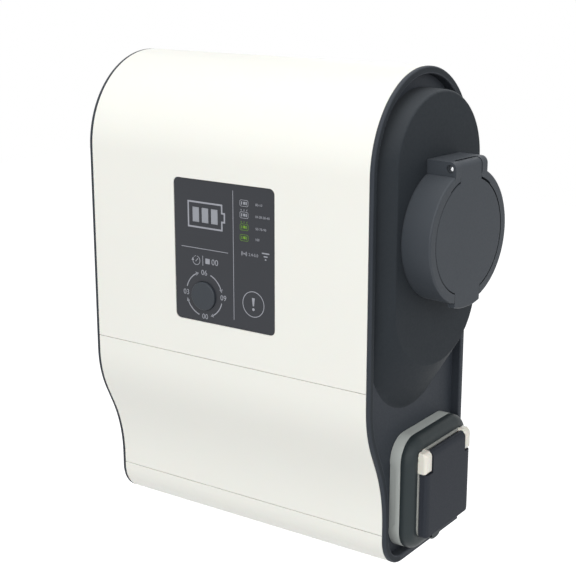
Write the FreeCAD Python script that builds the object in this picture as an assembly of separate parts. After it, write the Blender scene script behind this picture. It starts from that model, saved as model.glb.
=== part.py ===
import FreeCAD, Part
import math
import os

from FreeCAD import Vector

# Wall charging station for an electric car, in millimetres.
# X runs along the wall to the right, Y points into the wall, Z is up.
# The origin is the middle of the four wall fixings, on the face that meets the wall.

# Body outline, seen from the side
body_height = 382.6
body_depth = 146.3
cover_width = 260.5
cover_wall = 3.0
front_step = 26.6
step_top_gap = 12.3
step_foot_gap = 11.1
step_straight = 15.1
step_radius_ratio = 1.36
bottom_corner_radius = 26.6

# Joints between the three front covers
lower_joint_gap = 29.85
bottom_joint_rise = 3.6
joint_gap = 0.5
seat_gap = 0.3
tongue_wall = 2.0
tongue_reach = 7.0
tongue_root = 5.0
tongue_inset = 26.2
flange_wall = 3.0
flange_depth = 16.0
flange_lift = 1.0

# Cheeks: a rounded lip, a dished floor and a spigot inside the covers
lip_proud = 2.85
lip_width = 5.7
lip_rounding = 1.2
dish_depth = 7.6
floor_wall = 3.0

# Back plate and what it carries
wall_hole_inset = 32.5
wall_hole_drop = 8.15
wall_hole_radius = 3.25
wall_boss_radius = 8.0
wall_boss_height = 4.0
cheek_screw_drop = 23.15
cheek_screw_rise = 41.3
cheek_screw_lift = 7.5
cheek_lug_reach = 17.0
cheek_lug_half_height = 8.0
cheek_lug_wall = 6.0
cheek_boss_height = 9.0
cheek_boss_radius = 5.0
back_rib_wall = 2.5
back_rib_height = 7.0
back_rib_inset = 4.0
back_rib_x = 76.0
back_rib_drop = 15.0
entry_x = -60.0
entry_rise = 34.3
entry_bore_radius = 8.0
entry_neck_radius = 13.8
entry_flange_radius = 17.0
entry_web = 1.5
entry_lip = 2.4

# Screws
screw_radius = 2.0
screw_head_radius = 3.8
screw_head_height = 2.4
screw_clearance = 0.3
screw_socket_radius = 1.2
screw_socket_depth = 1.44
head_gap = 0.4
bottom_seat_wall = 3.0
pilot_bore_radius = 1.5
thread_gap = 0.05
cover_screw_side = 12.5
cover_screw_inset = 6.5
cover_screw_length = 14.0
bottom_screw_side = 22.5
bottom_screw_y = -42.0
cover_tab_wall = 5.0
cover_tab_half = 9.0
bottom_screw_sink = 3.0
bore_end_wall = 1.0
boss_radius = 4.5
boss_height = 8.0

# Control panel in the upper cover
panel_width = 95.4
panel_height = 112.1
panel_x = 1.3
panel_top_gap = 15.1
panel_corner = 4.4
panel_recess = 0.6
panel_back_step = 0.1
panel_flange = 5.0
panel_flange_wall = 1.8
panel_gap = 0.2
bar_width = 6.4
bar_height = 11.6
bar_pitch = 9.0
bar_left = 29.8
bar_drop = 27.35
bar_count = 3
status_size = 2.2
status_right = 28.2
status_drops = (13.45, 22.45, 31.65, 39.85)
guide_gap = 0.15
guide_wall = 2.0
guide_margin = 3.0
guide_post_radius = 1.8
guide_post_inset = 2.5

# Push button
button_radius = 11.4
button_left = 27.8
button_rise = 20.95
button_rounding = 1.2
button_skin = 2.0
button_top_skin = 2.4
button_core_wall = 2.0
button_proud = 1.6
button_gap = 0.3
button_collar = 2.0
button_collar_wall = 1.5
button_travel = 1.5
button_stem_radius = 2.4
button_spring_radius = 5.0
button_spring_wire = 0.4
button_spring_turns = 3.0
switch_width = 6.0
switch_height = 3.5
switch_cap_radius = 1.6
switch_cap_height = 1.0

# Circuit boards and switchgear
board_wall = 1.6
display_board_gap = 8.0
display_board_margin = 11.0
display_boss_inset = 5.0
display_board_corner = 3.0
bar_lamp_size = 3.0
status_lamp_size = 2.0
lamp_height = 1.0
header_width = 24.0
header_height = 6.0
header_drop = 50.0
header_depth = 6.0
control_board_width = 170.0
control_board_height = 118.0
control_board_inset = 15.5
control_board_drop = 17.15
control_pillar_height = 20.0
control_pillar_inset = 6.0
transformer_width = 38.0
transformer_height = 34.0
transformer_depth = 28.0
transformer_left = 18.0
transformer_low = 62.0
relay_width = 16.0
relay_height = 28.0
relay_depth = 16.0
relay_left = 78.0
relay_low = 66.0
relay_pitch = 22.0
relay_count = 3
capacitor_radius = 7.0
capacitor_depth = 24.0
capacitor_left = 26.0
capacitor_low = 34.0
capacitor_pitch = 17.0
capacitor_count = 3
plug_row_width = 66.0
plug_row_height = 8.0
plug_row_depth = 10.0
plug_row_left = 84.0
plug_row_low = 14.0
processor_width = 28.0
processor_height = 18.0
processor_depth = 2.0
processor_left = 96.0
processor_low = 34.0
rail_width = 35.0
rail_depth = 7.5
rail_wall = 1.0
rail_brim = 5.0
rail_length = 186.0
rail_inset = 11.5
rail_lift = 12.15
rail_pillar_height = 15.0
rail_pillar_half = 54.0
rail_pillar_width = 16.0
module_height = 84.0
module_depth = 60.0
module_nose_height = 45.0
module_nose_depth = 12.0
module_pitch = 17.8
module_gap = 0.4
module_inset = 6.0
module_mouth = 8.0
module_mouth_depth = 6.0
terminal_depth = 36.0
toggle_width = 10.0
toggle_height = 8.0
toggle_depth = 6.0
toggle_lift = 2.0

# Raised pod on the right cheek and the vehicle socket on it
pod_margin = 10.45
pod_taper = 9.2
pod_top_drop = 5.05
pod_face_rise = 8.6
pod_foot_gap = 19.1
pod_foot_slope = 28.5
pod_height = 20.9
pod_tilt = 5.26
pod_wall = 3.0
pod_rounding = 2.5
socket_y = 1.9
socket_drop = 1.4
drum_rim = 17.7
drum_height = 25.0
drum_rounding = 1.5
drum_wall = 3.0
lid_rim = 10.3
lid_groove = 0.6
lid_thickness = 6.0
lid_skin = 3.0
lid_skirt_wall = 2.5
lid_rounding = 0.8
hinge_relief = 0.8
hinge_relief_half = 26.0
well_radius = 33.0
well_flat_drop = 6.5
well_depth = 33.5
well_wall = 3.5
well_passage = 2.0
well_floor_wall = 3.0
well_rim_reach = 8.0
well_rim_wall = 1.5
throat_inset = 8.0
collar_gap = 5.8
collar_flat_gap = 5.7
block_face = 8.0
block_chamfer = 0.8
seal_reach = 4.0
seal_half_width = 1.5
power_hole_radius = 3.1
pilot_hole_radius = 1.6
sleeve_wall = 1.1
sleeve_floor = 3.0
hole_lip = 2.0
power_holes = ((0.0, -1.0), (-15.2, -1.0), (15.2, -1.0), (-8.4, -14.6), (8.4, -14.6))
pilot_holes = ((-7.6, 11.4), (7.6, 11.4))
stud_radius = 2.6
stud_length = 12.0
hinge_half_width = 20.9
hinge_radius = 5.2
hinge_drop = 4.8
hinge_overhang = 0.9
hinge_root = 12.7
hinge_brow = 5.6
tongue_half = 13.8
tongue_side_gap = 0.3
hinge_pin_radius = 2.0
pin_gap = 0.05
pin_sink = 1.3
pin_sink_radius = 3.2
spring_wire = 0.4
spring_turns = 5.0
spring_pin_gap = 0.4
spring_pocket_gap = 0.3
lid_spring_half = 5.52
pin_end_depth = 0.78
nose_half_width = 16.4
nose_overhang = 2.9
lid_root = 6.0
nose_rounding = 1.5
post_inset = 7.6
post_radius = 3.9
post_angles = (45.0, 135.0, 225.0, 315.0)
lock_pin_radius = 2.2
lock_pin_length = 24.0
actuator_width = 32.0
actuator_height = 34.0
actuator_depth = 13.0
motor_radius = 5.5
motor_reach = 14.0
motor_rise = 12.0

# Domestic outlet low on the right cheek
outlet_shift = 3.35
outlet_rise = 9.9
outlet_width = 92.0
outlet_height = 93.0
outlet_corner = 19.0
plate_depth = 9.2
plate_rim = 9.0
surround_depth = 9.8
surround_rounding = 8.0
frame_inset = 9.6
frame_corner = 9.5
frame_wall = 2.0
frame_floor = 3.0
frame_proud = 0.9
frame_bottom_drop = 10.8
flap_inset = 1.0
flap_depth = 6.7
flap_skin = 2.4
flap_side = 1.8
flap_corner = 4.0
flap_barrel_radius = 3.7
flap_pin_radius = 1.5
knuckle_width = 10.0
knuckle_drop = 12.8
knuckle_radius = 4.2
knuckle_gap = 0.8
knuckle_rounding = 1.4
flap_rounding = 1.6
flap_pin_inset = 1.0
flap_bore_inset = 0.8
flap_spring_gap = 0.35
flap_spring_half = 6.0
insert_radius = 28.6
outlet_well_radius = 20.5
outlet_well_depth = 17.0
outlet_pin_spacing = 19.0
outlet_pin_drop = 3.0
outlet_hole_radius = 2.75
outlet_floor_wall = 4.0
mechanism_half = 24.0
mechanism_corner = 4.0
mechanism_gap = 2.0
mechanism_depth = 24.0
earth_rise = 10.0
earth_radius = 2.4
earth_shank_step = 0.6
earth_length = 14.0
earth_rounding = 1.2
outlet_screw_offset = 29.0
outlet_screw_spare = 2.0
socket_screw_spare = 3.0
knockout_depth = 0.4
knockout_height = 5.52
knockout_slope = 5.0
nib_width = 13.0
nib_drop = 2.6
nib_rounding = 1.8
gasket_inner = 22.5
gasket_outer = 25.5
floor_gap = 0.2
weld = 0.5

# Values that follow from the ones above
x_edge = cover_width / 2
x_lip = x_edge + lip_proud
x_floor = x_lip - dish_depth
x_floor_inner = x_floor - floor_wall
x_cover = x_edge - seat_gap
z_top = body_height / 2
z_bottom = -body_height / 2
top_radius = body_depth / 2
top_centre_z = z_top - top_radius
y_front = -body_depth
y_low = y_front + front_step
corner_top_z = z_bottom + bottom_corner_radius
panel_z = top_centre_z - panel_top_gap - panel_height / 2
panel_top = panel_z + panel_height / 2
panel_bottom = panel_z - panel_height / 2
panel_left = panel_x - panel_width / 2
panel_right = panel_x + panel_width / 2
bar_x = panel_left + bar_left
bar_z = panel_top - bar_drop
status_x = panel_right - status_right
status_z = [panel_top - drop for drop in status_drops]
button_x = panel_left + button_left
button_z = panel_bottom + button_rise
lower_joint_z = panel_bottom - lower_joint_gap
bottom_joint_z = corner_top_z + bottom_joint_rise
step_top_z = lower_joint_z - step_top_gap
step_end_z = corner_top_z + step_foot_gap
step_run = step_top_z - step_end_z
step_turn = 2 * math.atan(front_step / (step_run + step_straight))
step_radius_sum = (step_run - step_straight * math.cos(step_turn)) / math.sin(step_turn)
step_upper_radius = step_radius_sum / (1 + step_radius_ratio)
step_lower_radius = step_radius_sum - step_upper_radius
wall_hole_half_z = top_centre_z - wall_hole_drop
cheek_screw_top = top_centre_z - cheek_screw_drop
cheek_screw_low = z_bottom + cheek_screw_rise
cheek_screw_middle = (cheek_screw_top + cheek_screw_low) / 2 + cheek_screw_lift
cheek_screw_heights = (cheek_screw_top, cheek_screw_middle, cheek_screw_low)
entry_z = z_bottom + entry_rise
cover_screw_y = y_front + flange_depth - cover_screw_inset
control_board_z = top_centre_z - control_board_drop - control_board_height / 2
rail_z = (z_bottom + control_board_z - control_board_height / 2) / 2 + rail_lift
outlet_y = y_low / 2 + outlet_shift
outlet_z = z_bottom + outlet_rise + outlet_height / 2
pod_y = y_front / 2
pod_base_radius = top_radius - pod_margin
pod_face_radius = pod_base_radius - pod_taper
pod_base_top = top_centre_z - pod_top_drop
pod_base_bottom = outlet_z + outlet_height / 2 + pod_foot_gap + pod_base_radius
pod_face_top = pod_base_top + pod_face_rise
pod_face_bottom = pod_base_bottom + pod_foot_slope
pod_face_x = x_floor + pod_height
socket_z = (pod_face_top + pod_face_bottom) / 2 - socket_drop
drum_radius = well_radius + drum_rim
lid_radius = well_radius + lid_rim
seal_radius = well_radius + seal_reach
well_rim_radius = well_radius + well_rim_reach
well_flat = well_radius - well_flat_drop
block_radius = well_radius - collar_gap
block_flat = well_flat - collar_flat_gap
post_circle = drum_radius - post_inset
hinge_rise = drum_radius + hinge_overhang
nose_bottom = drum_radius + nose_overhang
spigot_inset = cover_wall + seat_gap
inner_clear = x_floor_inner - seat_gap
tongue_half_width = inner_clear - tongue_inset
wall_hole_half_x = x_floor_inner - wall_hole_inset
cover_screw_x = x_floor_inner - cover_screw_side
bottom_screw_x = x_floor_inner - bottom_screw_side
control_board_x = control_board_width / 2 - x_floor_inner + control_board_inset
rail_x = rail_length / 2 - x_floor_inner + rail_inset
AXIS_X = Vector(1, 0, 0)
AXIS_Y = Vector(0, 1, 0)
AXIS_Z = Vector(0, 0, 1)


def box(x0, x1, y0, y1, z0, z1):
    """Return a box between two corners."""
    return Part.makeBox(x1 - x0, y1 - y0, z1 - z0, Vector(x0, y0, z0))


def rod(radius, start, end):
    """Return a cylinder between two points."""
    run = Vector(*end) - Vector(*start)
    return Part.makeCylinder(radius, run.Length, Vector(*start), run)


def tube(outer, inner, start, end):
    """Return a hollow cylinder between two points."""
    return rod(outer, start, end).cut(rod(inner, start, end))


def fuse(shapes):
    """Join a list of solids into one clean solid."""
    joined = shapes[0].multiFuse(shapes[1:]) if len(shapes) > 1 else shapes[0]
    return joined.removeSplitter()


def group(shapes):
    """Keep like pieces together as separate solids."""
    return Part.makeCompound(shapes)


def edges_where(shape, test):
    """Return the edges whose every end and middle point passes a test."""
    picked = []
    for edge in shape.Edges:
        first, last = edge.ParameterRange
        points = [edge.valueAt(first), edge.valueAt((first + last) / 2), edge.valueAt(last)]
        if all(test(point) for point in points):
            picked.append(edge)
    return picked


def arc_yz(x, centre, radius, start, end):
    """Return an arc in the plane of one X, with angles measured from +Y towards +Z."""
    points = []
    for angle in (start, (start + end) / 2, end):
        turn = math.radians(angle)
        points.append(Vector(x, centre[0] + radius * math.cos(turn), centre[1] + radius * math.sin(turn)))
    return Part.Arc(*points).toShape()


def joined_wire(arcs):
    """Join arcs and points in order with straight edges into one closed wire."""
    edges = []
    count = len(arcs)
    for index, arc in enumerate(arcs):
        edges.append(arc)
        start = arc.Vertexes[-1].Point
        end = arcs[(index + 1) % count].Vertexes[0].Point
        if (end - start).Length > 1e-6:
            edges.append(Part.makeLine(start, end))
    return Part.Wire(edges)


def body_wire(x, inset):
    """Return the side outline of the body, moved in by an inset."""
    turn = math.degrees(step_turn)
    corner_y = y_low + bottom_corner_radius
    top = arc_yz(x, (-top_radius, top_centre_z), top_radius - inset, 0, 180)
    upper = arc_yz(x, (y_front + step_upper_radius, step_top_z), step_upper_radius - inset, 180, 180 + turn)
    lower = arc_yz(x, (y_low - step_lower_radius, step_end_z), step_lower_radius + inset, turn, 0)
    corner = arc_yz(x, (corner_y, corner_top_z), bottom_corner_radius - inset, 180, 270)
    foot = Part.makeLine(Vector(x, corner_y, z_bottom + inset), Vector(x, -inset, z_bottom + inset))
    return joined_wire([top, upper, lower, corner, foot])


def body_slab(x0, x1, inset):
    """Return a slab of the body's side outline between two X planes."""
    return Part.Face(body_wire(x0, inset)).extrude(Vector(x1 - x0, 0, 0))


def body_ring(x0, x1, outer_inset, inner_inset):
    """Return a hollow ring of the body's side outline."""
    return body_slab(x0, x1, outer_inset).cut(body_slab(x0, x1, inner_inset))


def round_plate(x0, x1, y, z, width, height, corner):
    """Return a plate with rounded corners, lying in the YZ plane."""
    half_y = width / 2 - corner
    half_z = height / 2 - corner
    arcs = [
        arc_yz(x0, (y + half_y, z + half_z), corner, 0, 90),
        arc_yz(x0, (y - half_y, z + half_z), corner, 90, 180),
        arc_yz(x0, (y - half_y, z - half_z), corner, 180, 270),
        arc_yz(x0, (y + half_y, z - half_z), corner, 270, 360),
    ]
    return Part.Face(joined_wire(arcs)).extrude(Vector(x1 - x0, 0, 0))


def front_plate(y0, y1, x, z, width, height, corner):
    """Return a plate with rounded corners, lying in the XZ plane."""
    plate = round_plate(0, y1 - y0, -x, z, width, height, corner)
    plate.rotate(Vector(0, 0, 0), AXIS_Z, 90)
    plate.translate(Vector(0, y0, 0))
    return plate


def screw(start, direction, length):
    """Return a pan head screw whose head rests at a start point."""
    way = Vector(*direction)
    shank = Part.makeCylinder(screw_radius, length, Vector(*start), way)
    head = Part.makeCylinder(screw_head_radius, screw_head_height, Vector(*start), way * -1)
    slot_start = Vector(*start) - way * screw_head_height
    slot = Part.makeCylinder(screw_socket_radius, screw_socket_depth, slot_start, way)
    return fuse([shank, head]).cut(slot)


def coil(radius, wire, turns, length):
    """Return a coil spring along +Z from the origin."""
    spine = Part.makeHelix(length / turns, length, radius)
    section = Part.Wire([Part.makeCircle(wire, Vector(radius, 0, 0), AXIS_Y)])
    return Part.Wire(spine).makePipeShell([section], True, True)


def on_pod(shape):
    """Move a shape from the socket's own frame, with +X out of the pod, to its place."""
    placed = shape.copy()
    placed.rotate(Vector(0, 0, 0), AXIS_Z, -pod_tilt)
    centre_x = pod_face_x + socket_y * math.tan(math.radians(pod_tilt))
    placed.translate(Vector(centre_x, pod_y + socket_y, socket_z))
    return placed


def flat_cylinder(radius, flat, h0, h1):
    """Return a cylinder along X with its top cut flat."""
    full = rod(radius, (h0, 0, 0), (h1, 0, 0))
    return full.cut(box(h0 - 1, h1 + 1, -radius - 1, radius + 1, flat, radius + 1))


# Back plate

def cheek_screw_points():
    """Return the X and Z of each cheek screw."""
    x = x_floor_inner - cheek_lug_reach / 2
    return [(side * x, z) for side in (-1, 1) for z in cheek_screw_heights]


def wall_hole_points():
    """Return the X and Z of each wall fixing."""
    return [(sx * wall_hole_half_x, sz * wall_hole_half_z) for sx in (-1, 1) for sz in (-1, 1)]


def control_pillar_points():
    """Return the X and Z of each pillar under the control board."""
    half_x = control_board_width / 2 - control_pillar_inset
    half_z = control_board_height / 2 - control_pillar_inset
    return [(control_board_x + sx * half_x,
             control_board_z + sz * half_z) for sx in (-1, 1) for sz in (-1, 1)]


def make_back_plate():
    """Return the plate that is screwed to the wall, with its bosses, ribs and pillars."""
    face = -cover_wall
    low = z_bottom + spigot_inset
    high = top_centre_z - joint_gap
    solids = [box(-x_cover, x_cover, face, 0, low, high)]
    rib_low = low + back_rib_inset
    rib_high = high - back_rib_inset
    rib_face = face - back_rib_height
    for side in (-1, 1):
        edge = side * back_rib_x
        solids.append(box(edge - back_rib_wall / 2, edge + back_rib_wall / 2, rib_face, face, rib_low,
                          rib_high))
    for z in (rib_low, rib_high - back_rib_wall, (control_board_z + rail_z) / 2 - back_rib_drop):
        solids.append(box(-back_rib_x, back_rib_x, rib_face, face, z, z + back_rib_wall))
    for x, z in wall_hole_points():
        solids.append(rod(wall_boss_radius, (x, face, z), (x, face - wall_boss_height, z)))
    for x, z in cheek_screw_points():
        solids.append(rod(cheek_boss_radius, (x, face, z), (x, face - cheek_boss_height, z)))
    for x, z in control_pillar_points():
        solids.append(rod(boss_radius, (x, face, z), (x, face - control_pillar_height, z)))
    for side in (-1, 1):
        x = rail_x + side * rail_pillar_half
        half = rail_pillar_width / 2
        solids.append(box(x - half, x + half, face - rail_pillar_height, face,
                          rail_z - rail_width / 2, rail_z + rail_width / 2))
    plate = fuse(solids)
    for x, z in wall_hole_points():
        plate = plate.cut(rod(wall_hole_radius, (x, 1, z), (x, face - wall_boss_height - 1, z)))
    for x, z in cheek_screw_points():
        end = face - cheek_boss_height
        plate = plate.cut(rod(screw_radius + thread_gap, (x, face + 1, z), (x, end - 1, z)))
    hole = rod(entry_neck_radius + floor_gap, (entry_x, 1, entry_z), (entry_x, face - 1, entry_z))
    sink = rod(entry_flange_radius + floor_gap, (entry_x, 1, entry_z), (entry_x, -entry_web, entry_z))
    clear_end = face - back_rib_height - 1
    clear = rod(entry_flange_radius + 1, (entry_x, face, entry_z), (entry_x, clear_end, entry_z))
    return plate.cut(hole).cut(sink).cut(clear)


def make_cable_grommet():
    """Return the rubber grommet in the back plate, with the bore for the supply cable."""
    inner_end = -cover_wall - floor_gap / 2
    end = inner_end - entry_lip
    outer = rod(entry_flange_radius, (entry_x, 0, entry_z), (entry_x, -entry_web + floor_gap / 2, entry_z))
    neck = rod(entry_neck_radius, (entry_x, 0, entry_z), (entry_x, end, entry_z))
    inner = rod(entry_flange_radius, (entry_x, inner_end, entry_z), (entry_x, end, entry_z))
    return fuse([outer, neck, inner]).cut(rod(entry_bore_radius, (entry_x, 1, entry_z),
                                              (entry_x, end - 1, entry_z)))


# Cheeks

def dish(side):
    """Return the lip, spigot and floor that both cheeks share."""
    outer = body_ring(side * x_edge, side * x_lip, 0, lip_width)
    face = side * x_lip
    outer = outer.makeFillet(lip_rounding, edges_where(outer, lambda p: abs(p.x - face) < 0.01))
    spigot = body_ring(side * x_floor_inner, side * (x_edge + weld), spigot_inset, lip_width)
    floor = body_slab(side * x_floor_inner, side * x_floor, spigot_inset + weld)
    return fuse([outer, spigot, floor])


def cheek_lugs(side):
    """Return the lugs that hold a cheek on the back plate and the tabs that hold the covers."""
    solids = []
    lug_face = -cover_wall - cheek_boss_height - seat_gap
    x_in = x_floor_inner - cheek_lug_reach
    for z in cheek_screw_heights:
        low = z - cheek_lug_half_height
        high = z + cheek_lug_half_height
        lug = box(x_in, x_floor_inner + weld, lug_face - cheek_lug_wall, lug_face, low, high)
        x = x_floor_inner - cheek_lug_reach / 2
        hole = rod(screw_radius + screw_clearance, (x, 0, z), (x, lug_face - cheek_lug_wall - 1, z))
        solids.append(lug.cut(hole))
    tab_top = flange_bottom() - seat_gap
    y_tab = y_front + cover_wall + tongue_wall + 2 * seat_gap
    tab = box(cover_screw_x - cover_tab_half, x_floor_inner + weld, y_tab, y_front + flange_depth,
              tab_top - cover_tab_wall, tab_top)
    hole = rod(screw_radius + screw_clearance, (cover_screw_x, cover_screw_y, tab_top - cover_tab_wall - 1),
               (cover_screw_x, cover_screw_y, tab_top + 1))
    solids.append(tab.cut(hole))
    foot_low = z_bottom + cover_wall + flange_wall + seat_gap
    foot = box(bottom_screw_x - cover_tab_half, x_floor_inner + weld, bottom_screw_y - cover_tab_half,
               bottom_screw_y + cover_tab_half, foot_low, foot_low + boss_height)
    bore_start = (bottom_screw_x, bottom_screw_y, foot_low - 1)
    bore = rod(screw_radius + thread_gap, bore_start,
               (bottom_screw_x, bottom_screw_y, foot_low + boss_height - bore_end_wall))
    solids.append(foot.cut(bore))
    if side < 0:
        solids = [solid.mirror(Vector(0, 0, 0), AXIS_X) for solid in solids]
    return solids


def stadium_wire(radius, top_z, bottom_z, face_x, slope):
    """Return an upright stadium outline on a plane that leans by a slope along Y."""
    def point(angle, z):
        y = radius * math.cos(math.radians(angle))
        return Vector(face_x + slope * y, pod_y + y, z + radius * math.sin(math.radians(angle)))

    def curve(start, z):
        flat = arc_yz(0, (0, z), radius, start, start + 180)
        if slope == 0:
            flat.translate(Vector(face_x, pod_y, 0))
            return flat
        stretch = FreeCAD.Matrix()
        stretch.A12 = slope
        leaned = flat.transformGeometry(stretch)
        leaned.translate(Vector(face_x, pod_y, 0))
        return leaned

    return Part.Wire([
        curve(0, top_z),
        Part.makeLine(point(180, top_z), point(180, bottom_z)),
        curve(180, bottom_z),
        Part.makeLine(point(0, bottom_z), point(0, top_z)),
    ])


def pod_solid(inset, base_x):
    """Return the raised pod as a ruled solid, moved in by an inset."""
    slope = math.tan(math.radians(pod_tilt))
    base = stadium_wire(pod_base_radius - inset, pod_base_top, pod_base_bottom, base_x, 0)
    face = stadium_wire(pod_face_radius - inset, pod_face_top, pod_face_bottom, pod_face_x - inset, slope)
    return Part.makeLoft([base, face], True, True)


def make_right_cheek():
    """Return the right cheek with the pod for the vehicle socket and the seat for the outlet."""
    outer_pod = pod_solid(0, x_floor)
    slope = math.tan(math.radians(pod_tilt))

    def on_face(point):
        return abs(point.x - pod_face_x - slope * (point.y - pod_y)) < 0.05

    outer_pod = outer_pod.makeFillet(pod_rounding, edges_where(outer_pod, on_face))
    cheek = fuse([dish(1), outer_pod] + cheek_lugs(1))
    inner_pod = pod_solid(pod_wall, x_floor_inner)
    cheek = cheek.cut(inner_pod)
    cheek = cheek.cut(on_pod(rod(well_radius + well_wall + well_passage, (-3 * pod_wall, 0, 0),
                                 (pod_wall, 0, 0))))
    for y, z in post_points():
        cheek = cheek.cut(on_pod(rod(screw_radius + screw_clearance, (-3 * pod_wall, y, z),
                                     (pod_wall, y, z))))
    opening = round_plate(x_floor_inner - 1, x_floor + 1, outlet_y, outlet_z,
                          2 * (mechanism_half + mechanism_gap), 2 * (mechanism_half + mechanism_gap),
                          mechanism_corner + mechanism_gap)
    cheek = cheek.cut(opening)
    for y, z in outlet_screw_points():
        boss = rod(boss_radius, (x_floor_inner - boss_height, y, z), (x_floor_inner + weld, y, z))
        cheek = cheek.fuse(boss)
        bore = rod(screw_radius + thread_gap, (x_floor_inner - boss_height + 1, y, z), (x_floor + 1, y, z))
        cheek = cheek.cut(bore)
    return cheek.removeSplitter()


def make_left_cheek():
    """Return the plain left cheek."""
    return fuse([dish(-1)] + cheek_lugs(-1))


def make_cheek_screws():
    """Return the screws that hold both cheeks on the back plate."""
    start_y = -cover_wall - cheek_boss_height - seat_gap - cheek_lug_wall
    length = cheek_lug_wall + cheek_boss_height
    return group([screw((x, start_y, z), (0, 1, 0), length) for x, z in cheek_screw_points()])


# Front covers

def flange_bottom():
    """Return the underside of the upper cover's inner flange."""
    return lower_joint_z + tongue_reach + flange_lift


def cover_shell(low, high):
    """Return the part of the cover shell between two heights, open at the back plate."""
    shell = body_ring(-x_cover, x_cover, 0, cover_wall)
    slab = box(-x_edge, x_edge, y_front - 1, 1, low, high)
    back = box(-x_edge, x_edge, -spigot_inset, 1, z_bottom + cover_wall, top_centre_z)
    return shell.common(slab).cut(back)


def panel_window(y0, y1, grow):
    """Return a rounded block the size of the panel, grown all round."""
    width = panel_width + 2 * grow
    height = panel_height + 2 * grow
    return front_plate(y0, y1, panel_x, panel_z, width, height, panel_corner + grow)


def display_boss_points():
    """Return the X and Z of each boss that carries the display board."""
    half_x = panel_width / 2 + display_board_margin - display_boss_inset
    half_z = panel_height / 2 + display_board_margin - display_boss_inset
    return [(panel_x + sx * half_x, panel_z + sz * half_z) for sx in (-1, 1) for sz in (-1, 1)]


def make_upper_cover():
    """Return the white cover over the top and the front, with the panel window."""
    inside = y_front + cover_wall
    cover = cover_shell(lower_joint_z + joint_gap / 2, z_top + 1)
    flange_low = flange_bottom()
    flange = box(-inner_clear, inner_clear, inside - weld, y_front + flange_depth, flange_low,
                 flange_low + flange_wall)
    solids = [cover, flange]
    for side in (-1, 1):
        x = side * cover_screw_x
        top = flange_low + flange_wall + boss_height
        solids.append(rod(boss_radius, (x, cover_screw_y, flange_low), (x, cover_screw_y, top)))
    for x, z in display_boss_points():
        solids.append(rod(boss_radius, (x, inside - weld, z), (x, display_board_front(), z)))
    cover = fuse(solids)
    for side in (-1, 1):
        x = side * cover_screw_x
        top = flange_low + flange_wall + boss_height - bore_end_wall
        cover = cover.cut(rod(screw_radius + thread_gap, (x, cover_screw_y, flange_low - 1),
                              (x, cover_screw_y, top)))
    window = panel_window(y_front - 1, inside + 1, panel_gap)
    relief = panel_window(inside - weld, y_front + flange_depth, panel_flange + panel_gap)
    return cover.cut(window).cut(relief.common(box(-x_edge, x_edge, inside, 0, z_bottom, z_top)))


def tongue(y, joint_z):
    """Return the tongue along a cover's upper edge, which hooks behind the cover above."""
    root = box(-tongue_half_width, tongue_half_width, y - weld, y + tongue_wall + seat_gap,
               joint_z - tongue_root, joint_z - joint_gap / 2)
    blade = box(-tongue_half_width, tongue_half_width, y + seat_gap, y + tongue_wall + seat_gap,
                joint_z - tongue_root, joint_z + tongue_reach)
    return [root, blade]


def make_lower_cover():
    """Return the curved cover below the first joint."""
    shell = cover_shell(bottom_joint_z + joint_gap / 2, lower_joint_z - joint_gap / 2)
    return fuse([shell] + tongue(y_front + cover_wall, lower_joint_z))


def make_bottom_cover():
    """Return the cover that wraps under the body, with its two screw seats."""
    shell = cover_shell(z_bottom - 1, bottom_joint_z - joint_gap / 2)
    solids = [shell] + tongue(y_low + cover_wall, bottom_joint_z)
    top = z_bottom + cover_wall + flange_wall
    for side in (-1, 1):
        x = side * bottom_screw_x
        solids.append(rod(screw_head_radius + bottom_seat_wall, (x, bottom_screw_y, z_bottom + 1),
                          (x, bottom_screw_y, top)))
    cover = fuse(solids)
    for side in (-1, 1):
        x = side * bottom_screw_x
        seat = z_bottom + bottom_screw_sink
        cover = cover.cut(rod(screw_head_radius + head_gap, (x, bottom_screw_y, z_bottom - 1),
                              (x, bottom_screw_y, seat)))
        cover = cover.cut(rod(screw_radius + screw_clearance, (x, bottom_screw_y, seat - 1),
                              (x, bottom_screw_y, top + 1)))
    return cover


def make_cover_screws():
    """Return the two hidden screws of the upper cover and the two under the body."""
    tab_low = flange_bottom() - seat_gap - cover_tab_wall
    seat = z_bottom + bottom_screw_sink
    screws = []
    for side in (-1, 1):
        screws.append(screw((side * cover_screw_x, cover_screw_y, tab_low), (0, 0, 1), cover_screw_length))
        reach = cover_wall + flange_wall - bottom_screw_sink + seat_gap + boss_height - 2 * bore_end_wall
        screws.append(screw((side * bottom_screw_x, bottom_screw_y, seat), (0, 0, 1), reach))
    return group(screws)


# Control panel

def panel_front():
    """Return the Y of the panel's face."""
    return y_front + panel_recess


def panel_back():
    """Return the Y of the panel's rear face, a little behind its flange."""
    return panel_flange_y() + panel_flange_wall + panel_back_step


def panel_flange_y():
    """Return the Y of the front of the panel's flange, behind the cover."""
    return y_front + cover_wall + floor_gap


def display_board_front():
    """Return the Y of the display board's front face."""
    return panel_back() + display_board_gap


def bar_points():
    """Return the X of each light bar."""
    middle = (bar_count - 1) / 2
    return [bar_x + (index - middle) * bar_pitch for index in range(bar_count)]


def light_windows(y0, y1, grow):
    """Return the light bars and status lights as blocks, grown all round."""
    blocks = []
    for x in bar_points():
        blocks.append(box(x - bar_width / 2 - grow, x + bar_width / 2 + grow, y0, y1,
                          bar_z - bar_height / 2 - grow, bar_z + bar_height / 2 + grow))
    half = status_size / 2 + grow
    for z in status_z:
        blocks.append(box(status_x - half, status_x + half, y0, y1, z - half, z + half))
    return blocks


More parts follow.
